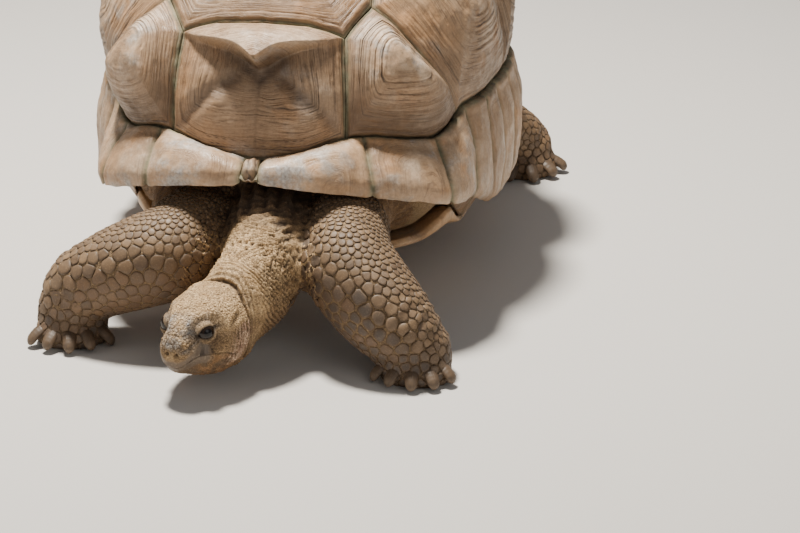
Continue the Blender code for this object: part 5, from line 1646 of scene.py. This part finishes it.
def build_claws():
    count = 0
    for key in FEET:
        x, y, radius, height, middle, spread, toes, toe_r, reach = FEET[key]
        big = 1.16 if key.startswith("hind") else 1.0
        for n, (dx, dy) in enumerate(toe_directions(middle, spread, toes)):
            rng = np.random.default_rng(300 + count)
            count += 1
            rows, cols = 26, 30
            b = np.linspace(0, 2 * np.pi, cols, endpoint=False)
            points, tips, along = [], [], []
            lean_to = rng.uniform(-.10, .10)
            length = CLAW_LENGTH * big * rng.uniform(1.0, 1.14) + .010
            for k in np.linspace(0, 1, rows):
                kk = np.clip((k * length - .010) / (CLAW_LENGTH * big), -.4, 1.2)
                out = reach + .003 + CLAW_LENGTH * big * kk * (1 - .12 * max(kk, 0)) - .0006
                z = .0235 - .0150 * max(kk, 0) ** 1.6
                size = CLAW_RADIUS * big * (1.0 - .22 * max(kk, 0) ** 1.6) * math.sqrt(max(1 - max((k - .80) / .215, 0) ** 2, .02)) - .0002
                flat = .80 - .10 * np.sin(b) * 0
                side = size * np.cos(b) * (1 - .10 * (np.sin(b) < 0))
                rise = size * np.where(np.sin(b) > 0, .74, .60) * np.sin(b)
                ripple = 1 + .020 * np.sin(kk * 34 + rng.uniform(0, .4)) * (k < .85) + .016 * np.sin(b * 9 + n)
                side, rise = side * ripple, rise * ripple
                bend = lean_to * (out - reach) * .6
                px = x + dx * (out + rise * .5 * kk) - dy * (side + bend)
                py = y + dy * (out + rise * .5 * kk) + dx * (side + bend)
                points.append(np.stack([px, py, np.maximum(z + rise, .0004)], axis=1))
                tips.append(np.full(cols, max(kk, 0)))
                along.append(np.stack([np.cos(b) * .05, np.sin(b) * .05, np.full(cols, kk * .012)], axis=1))
            pts = np.concatenate(points + [[points[0].mean(axis=0)], [points[-1].mean(axis=0)]])
            faces = [tuple(q) for q in grid_faces(rows, cols, True).tolist()]
            a, e = len(pts) - 2, (rows - 1) * cols
            faces += [(a, (i + 1) % cols, i) for i in range(cols)] + [(a + 1, e + i, e + (i + 1) % cols) for i in range(cols)]
            obj = mesh_object("horn_claw_%s_%d" % (key, n + 1), pts, faces, MAT["claw"])
            flip_if_inside_out(obj)
            put_attribute(obj, "tip", np.concatenate(tips + [[0.0], [1.0]]))
            put_attribute(obj, "along", np.concatenate(along + [[[0, 0, 0]], [[0, 0, .012]]]))
            show(obj, "claw", "claw_%s_%d" % (key, n + 1))



# The line of the largest scales on each front leg: share of the limb's length,
# angle round it; and the way round that leads to its upper side.
RIDGE = {
    "front_right": ((.45, -2.95), (.496, -2.756), (.545, -2.323), (.592, -2.198), (.659, -2.072),
                    (.729, -1.989), (.824, -1.866), (.892, -1.733), (.932, -1.651), (1.0, -1.60)),
    "front_left": ((.40, -.55), (.584, -.840), (.656, -1.005), (.709, -1.120), (.770, -1.295),
                   (.821, -1.333), (.872, -1.348), (.921, -1.326), (1.0, -1.30)),
}
RIDGE_SIGN = {"front_right": 1, "front_left": -1}


# ---------------------------------------------------------------- scales
# Rows of the largest scales down the front legs, as (share of the limb's
# length, angle round it); filled in for each limb in RIDGE.
def turned(a):
    return (a + np.pi) % (2 * np.pi) - np.pi


def scale_sizes(key, a, delta, p, n):
    """Half spacing, height, gap, tilt, dark, warm of scales at share a of the limb; delta: metres above its ridge."""
    up = np.clip(delta, 0, None)
    down = np.clip(-delta, 0, None)
    foot = ramp(.066 - p[:, 2], 0, .020)
    if key.startswith("front"):
        top = .0118 - .0046 * ramp(up, .006, .020) - .0022 * ramp(up, .020, .060) - .0010 * ramp(up, .06, .12)
        if key == "front_left":
            top = .0100 - .0034 * ramp(up, .004, .020) - .0014 * ramp(up, .020, .060) - .0006 * ramp(up, .06, .12)
        low = .0108 - .0024 * ramp(down, .010, .060) - .0020 * ramp(down, .08, .14)
        r = np.where(delta > 0, top, low)
        near = 1 - ramp(a, .34, .56)
        if key == "front_left":
            near = 1 - ramp(a, .34, .66)
        r = r * (1 - near) + .0034 * near
        r = r * (1 - foot) + .0072 * foot
        height = .0009 + .085 * r + .0007 * bell(delta, .016) * (1 - near)
        height *= 1 - .40 * ramp(down, .010, .040) * (1 - foot)
        gap = .00055 + .035 * r + .0013 * ramp(down, .004, .03) * (key == "front_left") * (1 - foot)
        tilt = .085 * ramp(up, .006, .03) * (1 - foot) + .03
        # dark: below the ridge partly the scales' own colour and partly painted shade; near the floor painted shade
        dark = ramp(down, -.004, .012) * (.75 if key == "front_left" else .30) + .10
        warm = ramp(down, .0, .035) * (.75 if key == "front_left" else .55) + .10
        dark = dark + .45 * foot
        return r, height, gap, tilt, dark * (1 - .6 * near), warm
    front = ramp(-n[:, 1], -.3, .6)
    r = .0040 + .0022 * ramp(a, .35, .75) + .0018 * foot * front
    height = .0007 + .12 * r
    return r, height, .0004 + .05 * r, .05 + 0 * r, .25 + 0 * r, .30 + 0 * r


def ridge_angle(key, a):
    if key in RIDGE:
        at = np.array(RIDGE[key])
        return np.interp(a, at[:, 0], np.unwrap(at[:, 1]))
    return 0 * a


def build_scales(skin, key):
    rng = np.random.default_rng({"front_right": 11, "front_left": 12, "hind_right": 13, "hind_left": 14}[key])
    rows = LIMBS[key]
    co = coords(skin) + SHIFT
    vn = normals(skin)
    mesh = skin.data
    mesh.calc_loop_triangles()
    tri = np.empty(len(mesh.loop_triangles) * 3, np.int32)
    mesh.loop_triangles.foreach_get("vertices", tri)
    tri = tri.reshape(-1, 3)
    mid = co[tri].mean(axis=1)
    along, around, dist, local, whole = path_coordinates(mid, rows)
    side = -1 if "right" in key else 1
    x, y, z = mid.T
    mine = (dist < local * 1.5 + .012 * (z < .06)) & (x * side > .03) & (along / whole > (.30 if key.startswith("front") else .26))
    if key.startswith("front"):
        mine &= (y < .26) & (head_coords(mid)[:, 0] < .2)
        neck_a, _, neck_d, neck_r, _ = path_coordinates(mid, NECK)
        mine &= neck_d > neck_r * 1.12
    else:
        mine &= y > .60
    mine &= z > .0022
    tri = tri[mine]
    corners = co[tri]
    area = np.linalg.norm(np.cross(corners[:, 1] - corners[:, 0], corners[:, 2] - corners[:, 0]), axis=1) / 2
    tree = BVHTree.FromPolygons([tuple(v) for v in corners.reshape(-1, 3)], [(3 * i, 3 * i + 1, 3 * i + 2) for i in range(len(tri))])
    count = 26000
    pick = rng.choice(len(tri), count, p=area / area.sum())
    w = rng.dirichlet((1, 1, 1), count)
    p = np.einsum("ij,ijk->ik", w, corners[pick])
    n = np.einsum("ij,ijk->ik", w, vn[tri[pick]])
    n /= np.linalg.norm(n, axis=1, keepdims=True)

    def sizes(p, n):
        along, around, dist, local, whole = path_coordinates(p, rows)
        a = along / whole
        delta = turned(around - ridge_angle(key, a)) * local * RIDGE_SIGN.get(key, 1)
        return scale_sizes(key, a, delta, p, n)

    r = sizes(p, n)[0]
    # spread the seeds: none nearer to another than their sizes allow
    got = np.zeros((count, 6))
    got_r = np.zeros(count)
    number = 0
    six = np.concatenate([p, n * .0045], axis=1)
    for i in range(count):
        if number:
            d = six[i] - got[:number]
            lim = .80 * (r[i] + got_r[:number])
            if np.any(np.einsum("ij,ij->i", d, d) < lim * lim):
                continue
        got[number], got_r[number] = six[i], r[i]
        number += 1
    seeds = got[:number].copy()
    for _ in range(3):
        sr = sizes(seeds[:, :3], seeds[:, 3:] / .0045)[0]
        owner = np.empty(count, int)
        for c in range(0, count, 4000):
            q = six[c:c + 4000]
            d = (q * q).sum(1)[:, None] - 2 * q @ seeds.T + (seeds * seeds).sum(1)[None] - (sr * sr)[None]
            owner[c:c + 4000] = np.argmin(d, axis=1)
        mass = np.maximum(np.bincount(owner, minlength=number), 1)
        fresh = np.stack([np.bincount(owner, weights=six[:, k], minlength=number) / mass for k in range(6)], axis=1)
        lone = np.bincount(owner, minlength=number) == 0
        fresh[lone] = seeds[lone]
        seeds = seeds + .75 * (fresh - seeds)
    n = seeds[:, 3:] / np.linalg.norm(seeds[:, 3:], axis=1, keepdims=True)
    p = np.array([np.array(tree.find_nearest(Vector(q))[0]) for q in seeds[:, :3]])
    r, height, gap, tilt, dark, warm = sizes(p, n)
    r = r + 0 * p[:, 0]
    # the lie of the scales: away from the body
    path = smooth_path(rows, 60)[:, :3]
    s_at = np.concatenate([[0], np.cumsum(np.linalg.norm(np.diff(path, axis=0), axis=1))])
    along, around, dist, local, whole = path_coordinates(p, rows)
    lie = np.stack([np.interp(along, s_at, np.gradient(path[:, k], s_at)) for k in range(3)], axis=1)
    lie = lie - n * (lie * n).sum(1, keepdims=True)
    short = np.linalg.norm(lie, axis=1) < .25
    lie[short] = np.cross(n[short], [1.0, .3, .1])
    lie /= np.linalg.norm(lie, axis=1, keepdims=True)
    other = np.cross(n, lie)
    # each scale reaches to the middle between its neighbours
    kd = KDTree(len(p))
    for i, q in enumerate(p):
        kd.insert(q, i)
    kd.balance()
    near = 15
    who = np.array([[hit[1] for hit in kd.find_n(q, near + 1)][:near + 1] for q in p])
    d = p[who] - p[:, None]
    dx, dy = (d * lie[:, None]).sum(-1), (d * other[:, None]).sum(-1)
    length = np.maximum(np.hypot(dx, dy), 1e-5)
    share = np.clip((length ** 2 + r[:, None] ** 2 - r[who] ** 2) / (2 * length), .32 * length, .68 * length)
    share = np.maximum(share - gap[:, None] * .5, .0006)
    valid = ((n[:, None] * n[who]).sum(-1) > .05) & (who != np.arange(len(p))[:, None]) & (length > .0012)
    angle = np.arctan2(dy, dx)
    tone = rng.random(len(p))
    total_tris = 0
    points, faces, att = [], [], {k: [] for k in ("rim", "tone", "dark", "warm")}
    uv = []
    base = 0
    root = np.stack([.03 + .94 * along / whole, .03 + .94 * (around + np.pi) / (2 * np.pi)], axis=1)
    for m, profile, chosen in ((16, ((1.02, -1, 1.0), (1.0, .34, 1.0), (.945, .70, .75), (.84, .90, .30), (.60, .985, .05)), r > .0058),
                               (12, ((1.02, -1, 1.0), (.99, .42, 1.0), (.90, .80, .60), (.66, .96, .10)), (r <= .0058) & (r > .0044)),
                               (9, ((1.02, -1, 1.0), (.97, .52, 1.0), (.72, .90, .25)), r <= .0044)):
        ids = np.flatnonzero(chosen)
        if len(ids) == 0:
            continue
        theta = np.linspace(0, 2 * np.pi, m, endpoint=False)
        c = np.clip(np.cos(theta[None, :, None] - angle[ids][:, None, :]), 0, 1) * valid[ids][:, None, :]
        power = 11.0
        reach = ((c / share[ids][:, None, :]) ** power).sum(-1) + (1 / (1.30 * r[ids][:, None])) ** power
        reach = reach ** (-1 / power)
        reach *= 1 + .025 * np.sin(3 * theta[None] + 40 * tone[ids][:, None]) + .02 * np.sin(5 * theta[None] + 17 * tone[ids][:, None])
        flat = p[ids][:, None] + reach[..., None] * (np.cos(theta)[None, :, None] * lie[ids][:, None] + np.sin(theta)[None, :, None] * other[ids][:, None])
        on = np.array([np.array(tree.find_nearest(Vector(q))[0]) for q in flat.reshape(-1, 3)]).reshape(flat.shape)
        gone = np.linalg.norm(on - flat, axis=-1) > .75 * reach + .002
        on = np.where(gone[..., None], flat, on)
        e = on - p[ids][:, None]
        e_n = (e * n[ids][:, None]).sum(-1, keepdims=True)
        e_t = e - e_n * n[ids][:, None]
        h = height[ids] * (.80 + .40 * rng.random(len(ids)))
        lean = tilt[ids] * (.7 + .6 * rng.random(len(ids)))
        lean_side = .05 * (rng.random(len(ids)) - .5)
        rings = []
        for k, (f, hh, rim) in enumerate(profile):
            f = f
            at = p[ids][:, None] + e_t * f + e_n * f * f * n[ids][:, None]
            if hh < 0:
                lift = -.0014 + 0 * reach
            else:
                lift = h[:, None] * hh + f * reach * (lean[:, None] * np.cos(theta)[None] + lean_side[:, None] * np.sin(theta)[None])
                lift = np.maximum(lift, .00015)
            rings.append(at + n[ids][:, None] * lift[..., None])
        crown = p[ids] + n[ids] * h[:, None] * 1.0
        under = p[ids] - n[ids] * .0014
        block = np.concatenate([np.stack(rings, axis=1).reshape(len(ids), -1, 3), crown[:, None], under[:, None]], axis=1)
        rows_ = len(profile)
        one = grid_faces(rows_, m, True)
        j = np.arange(m)
        k2 = (j + 1) % m
        top_f = np.stack([(rows_ - 1) * m + j, (rows_ - 1) * m + k2, np.full(m, rows_ * m)], axis=1)
        low_f = np.stack([k2, j, np.full(m, rows_ * m + 1)], axis=1)
        size = rows_ * m + 2
        quads = (one[None] + (base + np.arange(len(ids)) * size)[:, None, None]).reshape(-1, 4)
        tris = (np.concatenate([top_f, low_f])[None] + (base + np.arange(len(ids)) * size)[:, None, None]).reshape(-1, 3)
        faces += quads.tolist() + tris.tolist()
        total_tris += len(quads) * 2 + len(tris)
        base += size * len(ids)
        noise = fbm(block.reshape(-1, 3), .0035, 2, 55).reshape(block.shape[:2])
        block = block + n[ids][:, None] * (noise * .00022)[..., None]
        points.append(block.reshape(-1, 3))
        rim = np.concatenate([np.repeat([q[2] for q in profile], m), [0, 1]])
        att["rim"].append(np.tile(rim, len(ids)))
        for name, v in (("tone", tone), ("dark", np.clip(dark * (.5 + rng.random(len(p))), 0, 1)), ("warm", np.clip(warm * (.5 + rng.random(len(p))), 0, 1))):
            att[name].append(np.repeat(v[ids], size))
        patch = np.concatenate([np.repeat([q[0] for q in profile], m)[:, None] * np.tile(np.stack([np.cos(theta), np.sin(theta)], axis=1), (rows_, 1)), [[0, 0], [0, 0]]])
        uv.append((root[ids][:, None] + .0015 * patch[None]).reshape(-1, 2))
    pts = np.concatenate(points)
    pts[:, 2] = np.maximum(pts[:, 2], .0004)
    obj = mesh_object("scales_" + key, pts, faces, MAT["scale"])
    for name, v in att.items():
        put_attribute(obj, name, np.concatenate(v))
    uv = np.concatenate(uv).astype(np.float32)
    layer = obj.data.uv_layers.new(name="OFBake")
    index = np.empty(len(obj.data.loops), np.int32)
    obj.data.loops.foreach_get("vertex_index", index)
    layer.data.foreach_set("uv", uv[index].ravel())
    print("SCALES", key, len(p), total_tris, float(r.min()), float(r.max()))
    return show(obj, "scale_skin")


# ---------------------------------------------------------------- face
def build_face_scales(skin):
    """Small pebbled scales over the crown, the cheeks and round the eyes, coloured like the skin they sit on."""
    rng = np.random.default_rng(21)
    co = coords(skin) + SHIFT
    vn = normals(skin)
    mesh = skin.data
    mesh.calc_loop_triangles()
    tri = np.empty(len(mesh.loop_triangles) * 3, np.int32)
    mesh.loop_triangles.foreach_get("vertices", tri)
    tri = tri.reshape(-1, 3)
    marks = {}
    # these marks carry the skin's painted light and shade onto the face scales
    for key in ("pale", "warm", "blue", "pink", "beak", "dark", "fold"):
        v = np.empty(len(co), np.float32)
        mesh.attributes[key].data.foreach_get("value", v)
        marks[key] = v
    hc = head_coords(co[tri].mean(axis=1))
    s, x, z = hc.T
    ax = np.abs(x)
    ms, mz = np.array(MOUTH_LINE).T
    dz = z - through(ms, mz, np.clip(s, ms[0], ms[-1]))
    mine = (s > .021) & (s < .139) & (ax < .064) & (z > -.085) & (z < .056)
    mine &= (marks["beak"][tri].mean(axis=1) < .35) & ~((np.abs(dz) < .0024) & (s > .058))
    for side in (1.0, -1.0):
        rel = hc - [EYE[0], EYE[1] * side, EYE[2]]
        far = np.maximum(np.linalg.norm(rel, axis=1), 1e-6)
        axis, long, tall = (v * [1, side, 1] for v in (EYE_AXIS, EYE_LONG, EYE_TALL))
        q = rel / far[:, None]
        near = np.hypot((q @ long) / (OPEN_LONG / EYE_RADIUS), (q @ tall) / (OPEN_TALL / EYE_RADIUS))
        mine &= ~((far < .022) & (near < 1.13) & (q @ axis > 0))
    nostril = np.hypot(ax - .0074, z + .0150)
    mine &= ~((s > .124) & (nostril < .0048))
    tri = tri[mine]
    corners = co[tri]
    area = np.linalg.norm(np.cross(corners[:, 1] - corners[:, 0], corners[:, 2] - corners[:, 0]), axis=1) / 2
    tree = BVHTree.FromPolygons([tuple(v) for v in corners.reshape(-1, 3)], [(3 * i, 3 * i + 1, 3 * i + 2) for i in range(len(tri))])
    count = 26000
    pick = rng.choice(len(tri), count, p=area / area.sum())
    w = rng.dirichlet((1, 1, 1), count)
    p = np.einsum("ij,ijk->ik", w, corners[pick])
    n = np.einsum("ij,ijk->ik", w, vn[tri[pick]])
    n /= np.linalg.norm(n, axis=1, keepdims=True)
    here = {k: (w * v[tri[pick]]).sum(axis=1) for k, v in marks.items()}

    def size(q):
        s, x, z = head_coords(q).T
        ax = np.abs(x)
        r = .00180 + .00065 * ramp(z, .022, .036) * ramp(s, .035, .06) + .00080 * ramp(s, .104, .122) * ramp(z, -.018, .0)
        eye = np.linalg.norm(np.stack([s, ax, z], axis=1) - EYE, axis=1)
        r = r - .00055 * np.exp(-((eye - .016) / .006) ** 2) - .00030 * ramp(-z, .012, .03)
        return r * (.85 + .30 * (.5 + .5 * fbm(q, .012, 2, 121)))

    r = size(p)
    six = np.concatenate([p, n * .002], axis=1)
    got, got_r, chosen = np.zeros((count, 6)), np.zeros(count), []
    for i in range(count):
        k = len(chosen)
        if k:
            d = six[i] - got[:k]
            lim = .84 * (r[i] + got_r[:k])
            if np.any(np.einsum("ij,ij->i", d, d) < lim * lim):
                continue
        got[k], got_r[k] = six[i], r[i]
        chosen.append(i)
    ids = np.array(chosen)
    p, n, r = p[ids], n[ids], r[ids]
    here = {k: v[ids] for k, v in here.items()}
    keep = here["fold"] < .80
    p, n, r = p[keep], n[keep], r[keep]
    here = {k: v[keep] for k, v in here.items()}
    o, f, left, up = head_frame()
    lie = f - n * (n @ f)[:, None]
    short = np.linalg.norm(lie, axis=1) < .25
    lie[short] = np.cross(n[short], left)
    lie /= np.linalg.norm(lie, axis=1, keepdims=True)
    other = np.cross(n, lie)
    kd = KDTree(len(p))
    for i, q in enumerate(p):
        kd.insert(q, i)
    kd.balance()
    who = np.array([[hit[1] for hit in kd.find_n(q, 11)][:11] for q in p])
    d = p[who] - p[:, None]
    dx, dy = (d * lie[:, None]).sum(-1), (d * other[:, None]).sum(-1)
    length = np.maximum(np.hypot(dx, dy), 1e-5)
    share = np.clip(.5 * length * 2 * r[:, None] / (r[:, None] + r[who]), .32 * length, .68 * length)
    share = np.maximum(share - .00022, .0004)
    valid = ((n[:, None] * n[who]).sum(-1) > .05) & (who != np.arange(len(p))[:, None]) & (length > .0008)
    angle = np.arctan2(dy, dx)
    m = 8
    theta = np.linspace(0, 2 * np.pi, m, endpoint=False)
    c = np.clip(np.cos(theta[None, :, None] - angle[:, None, :]), 0, 1) * valid[:, None, :]
    reach = ((c / share[:, None, :]) ** 9).sum(-1) + (1 / (1.25 * r[:, None])) ** 9
    reach = reach ** (-1 / 9)
    flat = p[:, None] + reach[..., None] * (np.cos(theta)[None, :, None] * lie[:, None] + np.sin(theta)[None, :, None] * other[:, None])
    on = np.array([np.array(tree.find_nearest(Vector(q))[0]) for q in flat.reshape(-1, 3)]).reshape(flat.shape)
    e = on - p[:, None]
    e_n = (e * n[:, None]).sum(-1, keepdims=True)
    e_t = e - e_n * n[:, None]
    height = (.00022 + .13 * r) * (.75 + .5 * rng.random(len(r)))
    profile = ((1.0, -.0006, 1.0), (.95, .62, .75), (.62, .95, .12))
    rings = []
    for share_, rise, rim in profile:
        at = p[:, None] + e_t * share_ + e_n * share_ * share_ * n[:, None]
        lift = np.full(len(p), rise) if rise < 0 else height * rise
        rings.append(at + n[:, None] * lift[:, None, None])
    block = np.concatenate([np.stack(rings, axis=1).reshape(len(p), -1, 3), (p + n * height[:, None])[:, None], (p - n * .0006)[:, None]], axis=1)
    one = grid_faces(3, m, True)
    j = np.arange(m)
    k2 = (j + 1) % m
    size_ = 3 * m + 2
    step = (np.arange(len(p)) * size_)[:, None, None]
    quads = (one[None] + step).reshape(-1, 4)
    caps = np.concatenate([np.stack([2 * m + j, 2 * m + k2, np.full(m, 3 * m)], axis=1), np.stack([k2, j, np.full(m, 3 * m + 1)], axis=1)])
    tris = (caps[None] + step).reshape(-1, 3)
    obj = mesh_object("scales_face", block.reshape(-1, 3), quads.tolist() + tris.tolist(), MAT["face"])
    rim = np.tile(np.concatenate([np.repeat([q[2] for q in profile], m), [0, 1]]), len(p))
    for key, v in here.items():
        if key == "fold":
            put_attribute(obj, "fold", np.clip(np.repeat(.55 * v, size_) + .50 * rim, 0, 1))
        else:
            put_attribute(obj, key, np.clip(np.repeat(v * (.85 + .3 * rng.random(len(p))), size_), 0, 1))
    hp = head_coords(p)
    root = np.stack([.03 + .94 * (hp[:, 0] + .02) / .17, .03 + .94 * (np.arctan2(hp[:, 1], hp[:, 2] + .02) + np.pi) / (2 * np.pi)], axis=1)
    disc_ = np.concatenate([np.repeat([q[0] for q in profile], m)[:, None] * np.tile(np.stack([np.cos(theta), np.sin(theta)], axis=1), (3, 1)), [[0, 0], [0, 0]]])
    uv = (root[:, None] + .0015 * disc_[None]).reshape(-1, 2).astype(np.float32)
    layer = obj.data.uv_layers.new(name="OFBake")
    index = np.empty(len(obj.data.loops), np.int32)
    obj.data.loops.foreach_get("vertex_index", index)
    layer.data.foreach_set("uv", uv[index].ravel())
    print("SCALES face", len(p), len(quads) * 2 + len(tris), float(r.min()), float(r.max()))
    return show(obj, "skin")

# ---------------------------------------------------------------- the whole
MAT = {"horn": horn_material("shell_horn"), "horn_light": horn_material("plastron_horn", (1.35, 1.35, 1.3), .05),
       "skin": skin_material("skin_dry"), "face": skin_material("face_scales"), "scale": scale_material(),
       "claw": claw_material(), "eye": eye_material()}
add_camera()
add_studio()
build_shell()
tortoise_skin = build_skin()
for limb in LIMBS:
    build_scales(tortoise_skin, limb)
build_face_scales(tortoise_skin)
build_eyes()
build_claws()
bpy.context.view_layer.update()
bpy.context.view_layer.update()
whole = sum(sum(len(q.vertices) - 2 for q in o.data.polygons) for o in bpy.data.objects if o.type == "MESH")
print("WHOLE", whole)
